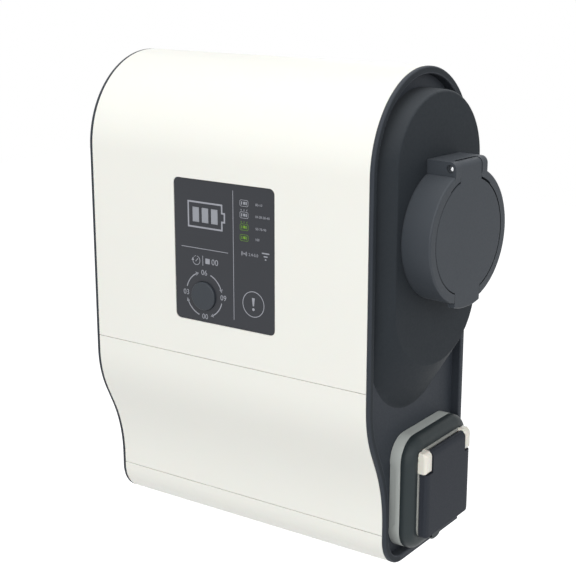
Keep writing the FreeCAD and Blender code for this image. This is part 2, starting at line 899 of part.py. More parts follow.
def make_display_panel():
    """Return the dark panel with its flange, light windows and button hole."""
    flange_y = panel_flange_y()
    face = panel_window(panel_front(), panel_back(), 0)
    flange = panel_window(flange_y, flange_y + panel_flange_wall, panel_flange)
    panel = fuse([face, flange])
    for block in light_windows(panel_front() - 1, panel_back() + 1, guide_gap):
        panel = panel.cut(block)
    hole = rod(button_radius + button_gap, (button_x, panel_front() - 1, button_z),
               (button_x, panel_back() + 1, button_z))
    return panel.cut(hole)


def make_light_guide():
    """Return the clear moulding that brings the light to the panel's windows."""
    plate_y = panel_back() + floor_gap
    left = bar_points()[0] - bar_width / 2 - guide_margin
    low = min(status_z) - status_size - guide_margin
    high = max(status_z) + status_size + guide_margin
    right = status_x + status_size + guide_margin
    solids = [box(left, right, plate_y, plate_y + guide_wall, low, high)]
    solids += light_windows(panel_front() + guide_gap, plate_y + guide_wall, 0)
    for x in (left + guide_post_inset, right - guide_post_inset):
        for z in (low + guide_post_inset, high - guide_post_inset):
            solids.append(rod(guide_post_radius, (x, plate_y + guide_wall - weld, z),
                              (x, display_board_front() - floor_gap, z)))
    return fuse(solids)


def make_display_board():
    """Return the board behind the panel, with its lamps and the push switch."""
    front = display_board_front() + floor_gap
    width = panel_width + 2 * display_board_margin
    height = panel_height + 2 * display_board_margin
    solids = [front_plate(front, front + board_wall, panel_x, panel_z, width, height, display_board_corner)]
    lamps = [(x, bar_z, bar_lamp_size / 2) for x in bar_points()]
    lamps += [(status_x, z, status_lamp_size / 2) for z in status_z]
    for x, z, half in lamps:
        solids.append(box(x - half, x + half, front - lamp_height, front + weld, z - half, z + half))
    half = switch_width / 2
    low_y = front - switch_height
    solids.append(box(button_x - half, button_x + half, low_y, front + weld, button_z - half,
                      button_z + half))
    solids.append(rod(switch_cap_radius, (button_x, low_y + weld, button_z),
                      (button_x, low_y - switch_cap_height, button_z)))
    header_low = panel_z - header_drop
    solids.append(box(panel_x - header_width / 2, panel_x + header_width / 2, front + board_wall - weld,
                      front + board_wall + header_depth, header_low, header_low + header_height))
    board = fuse(solids)
    for x, z in display_boss_points():
        board = board.cut(rod(pilot_bore_radius, (x, front - 1, z), (x, front + board_wall + 1, z)))
    return board


def button_collar_y():
    """Return the Y of the front of the button's stop collar."""
    return panel_back() + floor_gap


def make_push_button():
    """Return the round push button with its stop collar and stem."""
    front = y_front - button_proud
    collar = button_collar_y()
    cap = rod(button_radius, (button_x, front, button_z), (button_x, collar + button_collar_wall, button_z))
    cap = cap.makeFillet(button_rounding, edges_where(cap, lambda p: abs(p.y - front) < 0.01))
    ring = rod(button_radius + button_collar, (button_x, collar, button_z),
               (button_x, collar + button_collar_wall, button_z))
    stem_end = display_board_front() + floor_gap - switch_height - switch_cap_height - button_travel - floor_gap
    stem = rod(button_stem_radius, (button_x, collar, button_z), (button_x, stem_end, button_z))
    hollow = rod(button_radius - button_skin, (button_x, front + button_top_skin, button_z),
                 (button_x, collar + button_collar_wall + 1, button_z))
    core = rod(button_spring_radius + button_core_wall, (button_x, front + button_skin, button_z),
               (button_x, collar + button_collar_wall, button_z))
    return fuse([fuse([cap, ring]).cut(hollow), core, stem])


def make_button_spring():
    """Return the coil spring that lifts the push button."""
    start = button_collar_y() + button_collar_wall + 2 * button_spring_wire
    end = display_board_front() - button_spring_wire
    spring = coil(button_spring_radius, button_spring_wire, button_spring_turns,
                  end - start - button_spring_wire)
    spring.rotate(Vector(0, 0, 0), AXIS_X, -90)
    spring.translate(Vector(button_x, start, button_z))
    return spring


# Boards and switchgear inside

def make_control_board():
    """Return the control board with its transformer, relays, capacitors and plugs."""
    back = -cover_wall - control_pillar_height - floor_gap
    front = back - board_wall
    left = control_board_x - control_board_width / 2
    low = control_board_z - control_board_height / 2
    solids = [box(left, left + control_board_width, front, back, low, low + control_board_height)]

    def block(x, z, width, height, depth):
        return box(left + x, left + x + width, front - depth, front + weld, low + z, low + z + height)

    solids.append(block(transformer_left, transformer_low, transformer_width, transformer_height,
                        transformer_depth))
    for index in range(relay_count):
        x = relay_left + index * relay_pitch
        solids.append(block(x, relay_low, relay_width, relay_height, relay_depth))
    for index in range(capacitor_count):
        x = left + capacitor_left + index * capacitor_pitch
        z = low + capacitor_low
        solids.append(rod(capacitor_radius, (x, front + weld, z), (x, front - capacitor_depth, z)))
    solids.append(block(plug_row_left, plug_row_low, plug_row_width, plug_row_height, plug_row_depth))
    solids.append(block(processor_left, processor_low, processor_width, processor_height, processor_depth))
    board = fuse(solids)
    for x, z in control_pillar_points():
        board = board.cut(rod(screw_radius, (x, front - 1, z), (x, back + 1, z)))
    return board


def make_din_rail():
    """Return the top hat rail."""
    back = -cover_wall - rail_pillar_height
    left = rail_x - rail_length / 2
    right = rail_x + rail_length / 2
    half = rail_width / 2
    solids = [box(left, right, back - rail_wall, back, rail_z - half + rail_brim, rail_z + half - rail_brim)]
    for side in (-1, 1):
        inner = rail_z + side * (half - rail_brim)
        outer = rail_z + side * half
        wall_low = min(inner, inner - side * rail_wall)
        solids.append(box(left, right, back - rail_depth, back, wall_low, wall_low + rail_wall))
        low = min(inner - side * rail_wall, outer)
        high = max(inner - side * rail_wall, outer)
        solids.append(box(left, right, back - rail_depth, back - rail_depth + rail_wall, low, high))
    return fuse(solids)


def rail_module(left, modules, depth):
    """Return one clip-on module with its nose and terminal mouths."""
    right = left + modules * module_pitch - module_gap
    back = -cover_wall - rail_pillar_height - rail_depth - floor_gap
    body = box(left, right, back - depth, back, rail_z - module_height / 2, rail_z + module_height / 2)
    nose = box(left, right, back - depth - module_nose_depth, back - depth + weld,
               rail_z - module_nose_height / 2, rail_z + module_nose_height / 2)
    whole = fuse([body, nose])
    for index in range(modules):
        x = left + (index + 0.5) * module_pitch
        for side in (-1, 1):
            z = rail_z + side * module_height / 2
            mouth = box(x - module_mouth / 2, x + module_mouth / 2,
                        back - (depth + module_mouth) / 2, back - (depth - module_mouth) / 2,
                        z - module_mouth_depth, z + module_mouth_depth)
            whole = whole.cut(mouth)
    return whole


def module_start(modules_before):
    """Return the left side of a module that stands after some others on the rail."""
    return rail_x - rail_length / 2 + module_inset + modules_before * module_pitch


def make_contactor():
    """Return the four pole contactor."""
    return rail_module(module_start(0), 4, module_depth)


def make_residual_breaker():
    """Return the residual current breaker with its toggle."""
    breaker = rail_module(module_start(4), 2, module_depth)
    x = module_start(5)
    back = -cover_wall - rail_pillar_height - rail_depth - module_depth - module_nose_depth
    low = rail_z + toggle_lift
    toggle = box(x - toggle_width / 2, x + toggle_width / 2, back - toggle_depth, back + weld, low,
                 low + toggle_height)
    return fuse([breaker, toggle])


def make_terminal_block():
    """Return the row of supply terminals."""
    return rail_module(module_start(6), 3, terminal_depth)


# Vehicle socket, in its own frame with +X out of the pod

def post_points():
    """Return the Y and Z of each screw post under the drum."""
    points = []
    for angle in post_angles:
        turn = math.radians(angle)
        points.append((post_circle * math.cos(turn), post_circle * math.sin(turn)))
    return points


def hinge_h():
    """Return how far the lid's hinge line stands off the pod."""
    return drum_height - hinge_drop


def shoulder_h():
    """Return how far the sealing shoulder stands off the pod."""
    return drum_height - lid_thickness - seat_gap


def well_floor_h():
    """Return how far the floor of the plug well stands off the pod."""
    return shoulder_h() - well_depth


def make_socket_housing():
    """Return the drum with its hinge knuckles, sealing shoulder and screw posts."""
    base = floor_gap
    shoulder = shoulder_h()
    drum = rod(drum_radius, (base, 0, 0), (drum_height, 0, 0))
    drum = drum.makeFillet(drum_rounding, edges_where(drum, lambda p: abs(p.x - drum_height) < 0.01))
    seat_radius = lid_radius + lid_groove
    pocket_top = shoulder - drum_wall
    hollow = rod(drum_radius - drum_wall, (base - 1, 0, 0), (pocket_top, 0, 0))
    solids = [drum.cut(hollow)]
    for y, z in post_points():
        solids.append(rod(post_radius, (base, y, z), (pocket_top + weld, y, z)))
    root = drum_radius - hinge_root
    brow = hinge_rise - hinge_brow
    profile = Part.Wire([
        Part.makeLine(Vector(base, 0, root), Vector(base, 0, hinge_rise + hinge_radius)),
        Part.makeLine(Vector(base, 0, hinge_rise + hinge_radius),
                      Vector(hinge_h(), 0, hinge_rise + hinge_radius)),
        Part.Arc(Vector(hinge_h(), 0, hinge_rise + hinge_radius),
                 Vector(hinge_h() + hinge_radius * math.sin(math.radians(45)), 0,
                        hinge_rise + hinge_radius * math.cos(math.radians(45))),
                 Vector(hinge_h() + hinge_radius, 0, hinge_rise)).toShape(),
        Part.makeLine(Vector(hinge_h() + hinge_radius, 0, hinge_rise),
                      Vector(hinge_h() + hinge_radius, 0, brow)),
        Part.makeLine(Vector(hinge_h() + hinge_radius, 0, brow),
                      Vector(drum_height - drum_rounding, 0, root)),
        Part.makeLine(Vector(drum_height - drum_rounding, 0, root), Vector(base, 0, root)),
    ])
    block = Part.Face(profile).extrude(Vector(0, 2 * hinge_half_width, 0))
    block.translate(Vector(0, -hinge_half_width, 0))
    solids.append(block.cut(hollow))
    housing = fuse(solids)
    housing = housing.cut(rod(seat_radius, (shoulder, 0, 0), (drum_height + 2, 0, 0)))
    slot_half = tongue_half + tongue_side_gap
    slot = box(shoulder, drum_height + 2, -slot_half, slot_half, root, hinge_rise + hinge_radius + 1)
    saddle_radius = hinge_radius + tongue_side_gap / 2
    saddle = rod(saddle_radius, (hinge_h(), -slot_half, hinge_rise), (hinge_h(), slot_half, hinge_rise))
    notch_half = nose_half_width + tongue_side_gap
    notch = box(shoulder, drum_height + 2, -notch_half, notch_half, -drum_radius - 2, -root)
    bore = rod(hinge_pin_radius + pin_gap, (hinge_h(), -hinge_half_width - 1, hinge_rise),
               (hinge_h(), hinge_half_width - pin_sink, hinge_rise))
    sink = rod(pin_sink_radius, (hinge_h(), -hinge_half_width - 1, hinge_rise),
               (hinge_h(), -hinge_half_width + pin_sink, hinge_rise))
    relief = rod(seat_radius + hinge_relief, (shoulder, 0, 0), (drum_height + 2, 0, 0))
    relief = relief.common(box(shoulder, drum_height + 2, -hinge_relief_half, hinge_relief_half, 0,
                               drum_radius))
    hole = flat_cylinder(well_radius + well_wall + floor_gap, well_flat + well_wall + floor_gap, base - 1,
                         shoulder + 1)
    rim_seat = rod(well_rim_radius + floor_gap, (shoulder - well_rim_wall - floor_gap, 0, 0),
                   (shoulder + 1, 0, 0))
    for cutter in (slot, saddle, notch, relief, bore, sink, hole, rim_seat):
        housing = housing.cut(cutter)
    for y, z in post_points():
        housing = housing.cut(rod(screw_radius + thread_gap, (base - 1, y, z), (pocket_top - 1, y, z)))
    return on_pod(housing)


def make_socket_well():
    """Return the plug well, a flat-topped tube that hangs by its rim in the drum."""
    shoulder = shoulder_h()
    floor = well_floor_h()
    back = floor - well_floor_wall
    tube_flat = well_flat + well_wall
    body = flat_cylinder(well_radius + well_wall, tube_flat, back, shoulder)
    rim = rod(well_rim_radius, (shoulder - well_rim_wall, 0, 0), (shoulder, 0, 0))
    well = fuse([body, rim])
    cavity = flat_cylinder(well_radius, well_flat, floor, shoulder + 1)
    throat = flat_cylinder(well_radius - throat_inset, well_flat - throat_inset, back - 1, floor + 1)
    line = lock_line_h()
    lock_hole = rod(lock_pin_radius + screw_clearance, (line, 0, well_flat - 1), (line, 0, tube_flat + 1))
    for cutter in (cavity, throat, lock_hole):
        well = well.cut(cutter)
    return on_pod(well)


def make_socket_insert():
    """Return the contact block that stands in the well on its floor, keyed in the throat."""
    floor = well_floor_h() + floor_gap
    back = well_floor_h() - well_floor_wall
    key = throat_inset + floor_gap
    root = flat_cylinder(well_radius - key, well_flat - key, back, floor + 1)
    block = flat_cylinder(block_radius, block_flat, floor, block_face)
    block = block.makeChamfer(block_chamfer, edges_where(block, lambda p: abs(p.x - block_face) < 0.01))
    insert = fuse([root, block])
    for holes, radius in ((power_holes, power_hole_radius), (pilot_holes, pilot_hole_radius)):
        for y, z in holes:
            insert = insert.cut(rod(radius, (floor - 1, y, z), (block_face + 1, y, z)))
            pocket = rod(radius + sleeve_wall + pin_gap, (back - 1, y, z), (block_face - hole_lip, y, z))
            insert = insert.cut(pocket)
    return on_pod(insert)


def make_socket_contacts():
    """Return the seven contact sleeves with their terminal studs."""
    floor = well_floor_h() + floor_gap
    sleeves = []
    for holes, radius in ((power_holes, power_hole_radius), (pilot_holes, pilot_hole_radius)):
        for y, z in holes:
            sleeve = rod(radius + sleeve_wall, (floor, y, z), (block_face - hole_lip - floor_gap, y, z))
            bore = rod(radius, (floor + sleeve_floor, y, z), (block_face, y, z))
            stud = rod(min(stud_radius, radius + sleeve_wall), (floor - stud_length, y, z), (floor + 1, y, z))
            sleeves.append(on_pod(fuse([sleeve.cut(bore), stud])))
    return group(sleeves)


def make_socket_lid():
    """Return the sprung lid with its hinge tongue and finger nose."""
    back = drum_height - lid_thickness
    skin_back = drum_height - lid_skin
    disc = rod(lid_radius, (back, 0, 0), (drum_height, 0, 0))
    disc = disc.makeFillet(lid_rounding, edges_where(disc, lambda p: abs(p.x - drum_height) < 0.01))
    hollow = rod(lid_radius - lid_skirt_wall, (back - 1, 0, 0), (skin_back, 0, 0))
    barrel_radius = hinge_drop
    barrel = rod(barrel_radius, (hinge_h(), -tongue_half, hinge_rise), (hinge_h(), tongue_half, hinge_rise))
    arm = box(back, drum_height, -tongue_half, tongue_half, lid_radius - lid_root, hinge_rise)
    nose = box(back, drum_height, -nose_half_width, nose_half_width, -nose_bottom, -lid_radius + lid_root)
    foot_edges = edges_where(nose, lambda p: abs(p.z + nose_bottom) < 0.01)
    nose = nose.makeFillet(nose_rounding, [edge for edge in foot_edges if edge.Vertexes[0].Point.x > skin_back
                                                 and edge.Vertexes[1].Point.x > skin_back])
    lid = fuse([disc, arm, nose]).cut(hollow)
    lid = fuse([lid, barrel])
    bore = rod(hinge_pin_radius + pin_gap, (hinge_h(), -tongue_half - 1, hinge_rise),
               (hinge_h(), tongue_half + 1, hinge_rise))
    pocket_half = lid_spring_half + 1
    pocket = rod(spring_radius() + spring_wire + spring_pocket_gap, (hinge_h(), -pocket_half, hinge_rise),
                 (hinge_h(), pocket_half, hinge_rise))
    return on_pod(lid.cut(bore).cut(pocket))


def spring_radius():
    """Return the middle radius of the lid's torsion spring."""
    return hinge_pin_radius + spring_wire + spring_pin_gap


def make_lid_spring():
    """Return the torsion spring coiled round the lid's hinge pin."""
    length = 2 * lid_spring_half
    spring = coil(spring_radius(), spring_wire, spring_turns, length)
    spring.rotate(Vector(0, 0, 0), AXIS_X, -90)
    spring.translate(Vector(hinge_h(), -length / 2, hinge_rise))
    return on_pod(spring)


def make_lid_hinge_pin():
    """Return the steel pin that the lid turns on."""
    start = (hinge_h(), -hinge_half_width + pin_end_depth, hinge_rise)
    end = (hinge_h(), hinge_half_width - pin_sink - floor_gap, hinge_rise)
    return on_pod(rod(hinge_pin_radius, start, end))


def make_lid_seal():
    """Return the rubber ring inside the lid."""
    back = drum_height - lid_thickness
    return on_pod(tube(seal_radius + seal_half_width, seal_radius - seal_half_width,
                       (back, 0, 0), (drum_height - lid_skin - thread_gap, 0, 0)))


def lock_line_h():
    """Return how far the lock pin's line stands off the pod."""
    return -(pod_wall + seat_gap + actuator_depth / 2)


def make_lock_actuator():
    """Return the motor box that drives the lock pin."""
    low = well_flat + well_wall + floor_gap
    line = lock_line_h()
    half = actuator_width / 2
    body = box(line - actuator_depth / 2, line + actuator_depth / 2, -half, half, low, low + actuator_height)
    motor = rod(motor_radius, (line, half - 1, low + motor_rise),
                (line, half + motor_reach, low + motor_rise))
    bore = rod(lock_pin_radius + screw_clearance, (line, 0, low - 1),
               (line, 0, lock_pin_rest() + lock_pin_length + seat_gap))
    return on_pod(fuse([body, motor]).cut(bore))


def lock_pin_rest():
    """Return the height of the lock pin's tip when it is drawn back."""
    return well_flat + seat_gap


def make_lock_pin():
    """Return the steel pin that drops into the well and holds the plug."""
    line = lock_line_h()
    return on_pod(rod(lock_pin_radius, (line, 0, lock_pin_rest()),
                      (line, 0, lock_pin_rest() + lock_pin_length)))


def make_socket_screws():
    """Return the screws that hold the drum, driven from inside the pod."""
    length = pod_wall + floor_gap + shoulder_h() - drum_wall - socket_screw_spare
    return group([on_pod(screw((-pod_wall - floor_gap, y, z), (1, 0, 0), length)) for y, z in post_points()])


# Domestic outlet

def plate_back():
    """Return the X of the rear of the outlet's grey plate."""
    return x_floor + floor_gap


def plate_front():
    """Return the X of the front of the outlet's grey plate."""
    return plate_back() + plate_depth


def surround_back():
    """Return the X of the rear of the dark surround."""
    return plate_front() + floor_gap


def surround_front():
    """Return the X of the front of the dark surround."""
    return surround_back() + surround_depth


def frame_front():
    """Return the X of the front of the pale frame."""
    return surround_front() + frame_proud


def frame_size():
    """Return the width and height of the pale frame."""
    return outlet_width - 2 * frame_inset, outlet_height - frame_inset - frame_bottom_drop


def frame_z():
    """Return the middle height of the pale frame."""
    return outlet_z + (frame_bottom_drop - frame_inset) / 2


def flap_axis():
    """Return the X and Z of the flap's hinge line."""
    top = frame_z() + frame_size()[1] / 2 - flap_inset
    return flap_front() - flap_barrel_radius, top - flap_barrel_radius


def flap_back():
    """Return the X of the flap's rear edge."""
    return frame_front() + seat_gap


def flap_front():
    """Return the X of the flap's face."""
    return flap_back() + flap_depth


def outlet_screw_points():
    """Return the Y and Z of each outlet screw."""
    offset = outlet_screw_offset
    return [(outlet_y + sy * offset, frame_z() + sz * offset) for sy in (-1, 1) for sz in (-1, 1)]


def make_outlet_plate():
    """Return the grey mounting plate with its cable knockout and screw lugs."""
    plate = round_plate(plate_back(), plate_front(), outlet_y, outlet_z, outlet_width, outlet_height,
                        outlet_corner)
    hole = round_plate(plate_back() - 1, plate_front() + 1, outlet_y, outlet_z,
                       outlet_width - 2 * plate_rim, outlet_height - 2 * plate_rim, outlet_corner - plate_rim + 2)
    solids = [plate.cut(hole)]
    for y, z in outlet_screw_points():
        lug_y = outlet_y + math.copysign(outlet_width / 2 - plate_rim / 2, y - outlet_y)
        low_y, high_y = sorted((y - math.copysign(boss_radius, y - outlet_y), lug_y))
        solids.append(box(plate_back(), plate_front(), low_y, high_y, z - boss_radius, z + boss_radius))
    plate = fuse(solids)
    for y, z in outlet_screw_points():
        plate = plate.cut(rod(screw_radius + screw_clearance, (plate_back() - 1, y, z),
                              (plate_front() + 1, y, z)))
    side = outlet_y - outlet_width / 2
    high = outlet_z + outlet_height / 2 - outlet_corner
    low = outlet_z - outlet_height / 2 + outlet_corner
    edge = plate_back() + knockout_height
    knockout = Part.makePolygon([
        Vector(plate_back() - 1, side - 1, high),
        Vector(edge, side - 1, high - knockout_slope),
        Vector(edge, side - 1, low + knockout_slope),
        Vector(plate_back() - 1, side - 1, low),
        Vector(plate_back() - 1, side - 1, high),
    ])
    return plate.cut(Part.Face(knockout).extrude(Vector(0, 1 + knockout_depth, 0)))


def make_outlet_surround():
    """Return the dark surround with its rounded shoulders and the latch nib below."""
    block = round_plate(surround_back(), surround_front(), outlet_y, outlet_z, outlet_width, outlet_height,
                        outlet_corner)
    front = surround_front()
    block = block.makeFillet(surround_rounding, edges_where(block, lambda p: abs(p.x - front) < 0.01))
    width, height = frame_size()
    gap = 2 * floor_gap
    hole = round_plate(surround_back() - 1, front + 1, outlet_y, frame_z(), width + gap, height + gap,
                       frame_corner + floor_gap)
    nib_low = outlet_z - outlet_height / 2 - nib_drop
    nib = box(surround_back() + 1, front - 2, outlet_y - nib_width / 2, outlet_y + nib_width / 2, nib_low,
              nib_low + 7)
    nib = nib.makeFillet(nib_rounding, edges_where(nib, lambda p: abs(p.z - nib_low) < 0.01))
    return fuse([block, nib]).cut(hole)


def make_outlet_frame():
    """Return the pale inner frame with the two hinge knuckles."""
    width, height = frame_size()
    middle = frame_z()
    ring = round_plate(surround_back(), frame_front(), outlet_y, middle, width, height, frame_corner)
    hollow = round_plate(surround_back() + frame_floor, frame_front() + 1, outlet_y, middle,
                         width - 2 * frame_wall, height - 2 * frame_wall, frame_corner - frame_wall)
    solids = [ring.cut(hollow)]
    x, z = flap_axis()
    side = width / 2
    for start in (outlet_y - side, outlet_y + side - knuckle_width):
        end = start + knuckle_width
        head = rod(knuckle_radius, (x, start, z), (x, end, z))
        leg = box(frame_front() - weld, x + knuckle_radius, start, end, z - knuckle_drop, z)
        neck = box(frame_front() - weld, x, start, end, z, z + knuckle_radius)
        knuckle = fuse([head, leg, neck])
        low = z - knuckle_drop
        lips = edges_where(knuckle, lambda p: p.x > frame_front() + 1 and abs(p.z - low) < 0.01)
        rim = edges_where(knuckle,
                          lambda p: p.x > x + 1 and (abs(p.y - start) < 0.01 or abs(p.y - end) < 0.01))
        solids.append(knuckle.makeFillet(knuckle_rounding, lips + [edge for edge in rim if edge.Length > 2]))
    frame = fuse(solids)
    frame = frame.cut(rod(insert_radius + floor_gap, (surround_back() - 1, outlet_y, outlet_z),
                          (surround_back() + frame_floor + 1, outlet_y, outlet_z)))
    pin = rod(flap_pin_radius + pin_gap, (x, outlet_y - side + flap_bore_inset, z),
              (x, outlet_y + side - flap_bore_inset, z))
    frame = frame.cut(pin)
    for y, z in outlet_screw_points():
        frame = frame.cut(rod(screw_radius + screw_clearance, (surround_back() - 1, y, z),
                              (frame_front(), y, z)))
    return frame


def make_outlet_screws():
    """Return the screws that hold the frame, surround and plate on the cheek."""
    start = surround_back() + frame_floor
    length = start - x_floor_inner + boss_height - outlet_screw_spare
    return group([screw((start, y, z), (-1, 0, 0), length) for y, z in outlet_screw_points()])


def make_outlet_flap():
    """Return the sprung flap, hollow behind, with its hinge barrel."""
    width, height = frame_size()
    width -= 2 * flap_inset
    height -= 2 * flap_inset
    middle = frame_z()
    x, z = flap_axis()
    shell = round_plate(flap_back(), flap_front(), outlet_y, middle, width, height, flap_corner)
    front = flap_front()
    shell = shell.makeFillet(flap_rounding, edges_where(shell, lambda p: abs(p.x - front) < 0.01))
    hollow = round_plate(flap_back() - 1, flap_front() - flap_skin, outlet_y, middle,
                         width - 2 * flap_side, height - 2 * flap_side, flap_corner - flap_side)
    shell = shell.cut(hollow)
    half = width / 2
    shell = shell.cut(box(flap_back() - 1, front + 1, outlet_y - half - 1, outlet_y + half + 1, z, z + 10))
    barrel_half = half + flap_inset - knuckle_width - seat_gap
    barrel = rod(flap_barrel_radius, (x, outlet_y - barrel_half, z), (x, outlet_y + barrel_half, z))
    shell = fuse([shell, barrel])
    for side in (-1, 1):
        outer = outlet_y + side * (half + 2)
        inner = outlet_y + side * barrel_half
        low_y, high_y = sorted((inner, outer))
        low = z - knuckle_drop - knuckle_gap
        shell = shell.cut(box(flap_back() - 1, front + 1, low_y, high_y, low, z + 10))
    bore = rod(flap_pin_radius + pin_gap, (x, outlet_y - half, z), (x, outlet_y + half, z))
    pocket_half = flap_spring_half + 1
    pocket = rod(flap_spring_radius() + spring_wire + spring_pocket_gap, (x, outlet_y - pocket_half, z),
                 (x, outlet_y + pocket_half, z))
    return shell.cut(bore).cut(pocket)


def flap_spring_radius():
    """Return the middle radius of the flap's torsion spring."""
    return flap_pin_radius + spring_wire + flap_spring_gap


def make_flap_spring():
    """Return the torsion spring coiled round the flap's pin."""
    x, z = flap_axis()
    length = 2 * flap_spring_half
    spring = coil(flap_spring_radius(), spring_wire, spring_turns, length)
    spring.rotate(Vector(0, 0, 0), AXIS_X, -90)
    spring.translate(Vector(x, outlet_y - length / 2, z))
    return spring


def make_flap_pin():
    """Return the steel pin that the flap turns on."""
    x, z = flap_axis()
    half = frame_size()[0] / 2 - flap_pin_inset
    return rod(flap_pin_radius, (x, outlet_y - half, z), (x, outlet_y + half, z))


def make_flap_gasket():
    """Return the rubber ring that seals the flap on the outlet's face."""
    start = insert_front() + seat_gap
    end = flap_front() - flap_skin - thread_gap
    return tube(gasket_outer, gasket_inner, (start, outlet_y, outlet_z), (end, outlet_y, outlet_z))


def insert_front():
    """Return the X of the outlet insert's face."""
    return surround_front() - seat_gap


def well_floor_x():
    """Return the X of the floor of the outlet's well."""
    return insert_front() - outlet_well_depth


def outlet_hole_points():
    """Return the Y and Z of the two line holes."""
    half = outlet_pin_spacing / 2
    return [(outlet_y + side * half, outlet_z - outlet_pin_drop) for side in (-1, 1)]


def make_outlet_insert():
    """Return the outlet's round face with its well, line holes and mechanism box."""
    front = insert_front()
    floor = well_floor_x()
    back = floor - mechanism_depth
    face = rod(insert_radius, (front, outlet_y, outlet_z), (surround_back(), outlet_y, outlet_z))
    skirt = rod(mechanism_half, (surround_back() + weld, outlet_y, outlet_z),
                (floor - outlet_floor_wall, outlet_y, outlet_z))
    mechanism = round_plate(back, floor - outlet_floor_wall + weld, outlet_y, outlet_z,
                             2 * mechanism_half, 2 * mechanism_half, mechanism_corner)
    insert = fuse([face, skirt, mechanism])
    insert = insert.cut(rod(outlet_well_radius, (floor, outlet_y, outlet_z), (front + 1, outlet_y, outlet_z)))
    for y, z in outlet_hole_points():
        insert = insert.cut(rod(outlet_hole_radius, (back + sleeve_floor, y, z), (floor + 1, y, z)))
        pocket_radius = outlet_hole_radius + sleeve_wall + pin_gap
        insert = insert.cut(rod(pocket_radius, (back - 1, y, z), (floor - outlet_floor_wall, y, z)))
    earth_z = outlet_z + earth_rise
    shank_radius = earth_radius + earth_shank_step + pin_gap
    return insert.cut(rod(shank_radius, (back - 1, outlet_y, earth_z), (floor + 1, outlet_y, earth_z)))


def make_outlet_earth_pin():
    """Return the earth pin that stands in the outlet's well on a thicker shank."""
    floor = well_floor_x()
    z = outlet_z + earth_rise
    tip = floor + earth_length
    shank = rod(earth_radius + earth_shank_step, (floor - mechanism_depth, outlet_y, z), (floor, outlet_y, z))
    pin = fuse([shank, rod(earth_radius, (floor - 1, outlet_y, z), (tip, outlet_y, z))])
    return pin.makeFillet(earth_rounding, edges_where(pin, lambda p: abs(p.x - tip) < 0.01))


def make_outlet_contacts():
    """Return the two line contact sleeves."""
    start = well_floor_x() - mechanism_depth
    end = well_floor_x() - outlet_floor_wall - floor_gap
    sleeves = []
    for y, z in outlet_hole_points():
        outer = outlet_hole_radius + sleeve_wall
        sleeves.append(rod(outer, (start, y, z),
                           (end, y,
                            z)).cut(rod(outlet_hole_radius, (start + sleeve_floor, y, z), (end + 1, y, z))))
    return group(sleeves)


def build_all():
    """Return every named piece of the charging station."""
    return {
        "back_plate": make_back_plate(),
        "cable_grommet": make_cable_grommet(),
        "left_cheek": make_left_cheek(),
        "right_cheek": make_right_cheek(),
        "cheek_screws": make_cheek_screws(),
        "upper_cover": make_upper_cover(),
        "lower_cover": make_lower_cover(),
        "bottom_cover": make_bottom_cover(),
        "cover_screws": make_cover_screws(),
        "display_panel": make_display_panel(),
        "light_guide": make_light_guide(),
        "display_board": make_display_board(),
        "push_button": make_push_button(),
        "button_spring": make_button_spring(),
        "control_board": make_control_board(),
        "din_rail": make_din_rail(),
        "contactor": make_contactor(),
        "residual_breaker": make_residual_breaker(),
        "terminal_block": make_terminal_block(),
        "socket_housing": make_socket_housing(),
        "socket_well": make_socket_well(),
        "socket_insert": make_socket_insert(),
        "socket_contacts": make_socket_contacts(),
        "socket_screws": make_socket_screws(),
        "socket_lid": make_socket_lid(),
        "lid_seal": make_lid_seal(),
        "lid_hinge_pin": make_lid_hinge_pin(),
        "lid_spring": make_lid_spring(),
        "lock_actuator": make_lock_actuator(),
        "lock_pin": make_lock_pin(),
        "outlet_plate": make_outlet_plate(),
        "outlet_surround": make_outlet_surround(),
        "outlet_frame": make_outlet_frame(),
        "outlet_flap": make_outlet_flap(),
        "flap_gasket": make_flap_gasket(),
        "flap_pin": make_flap_pin(),
        "flap_spring": make_flap_spring(),
        "outlet_insert": make_outlet_insert(),
        "outlet_earth_pin": make_outlet_earth_pin(),
        "outlet_contacts": make_outlet_contacts(),
        "outlet_screws": make_outlet_screws(),
    }


def main():
    """Write one STEP file for each piece."""
    os.makedirs("parts", exist_ok=True)
    for name, shape in build_all().items():
        shape.exportStep("parts/" + name + ".step")
        size = shape.BoundBox
        count = len(shape.Solids)
        print(f"{name}: {count} solids, valid {shape.isValid()}, volume {shape.Volume / 1000:.2f} cm3, "
              f"X {size.XMin:.1f} {size.XMax:.1f} Y {size.YMin:.1f} {size.YMax:.1f} Z {size.ZMin:.1f} {size.ZMax:.1f}")


main()
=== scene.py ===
"""Looks of a wall charging station for an electric car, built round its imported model.

Lengths in the classes are millimetres; the meshes are in metres, in the model's own frame.
"""
import logging
import math
from abc import ABC, abstractmethod
from collections.abc import Callable, Sequence
from dataclasses import dataclass, field
from enum import Enum

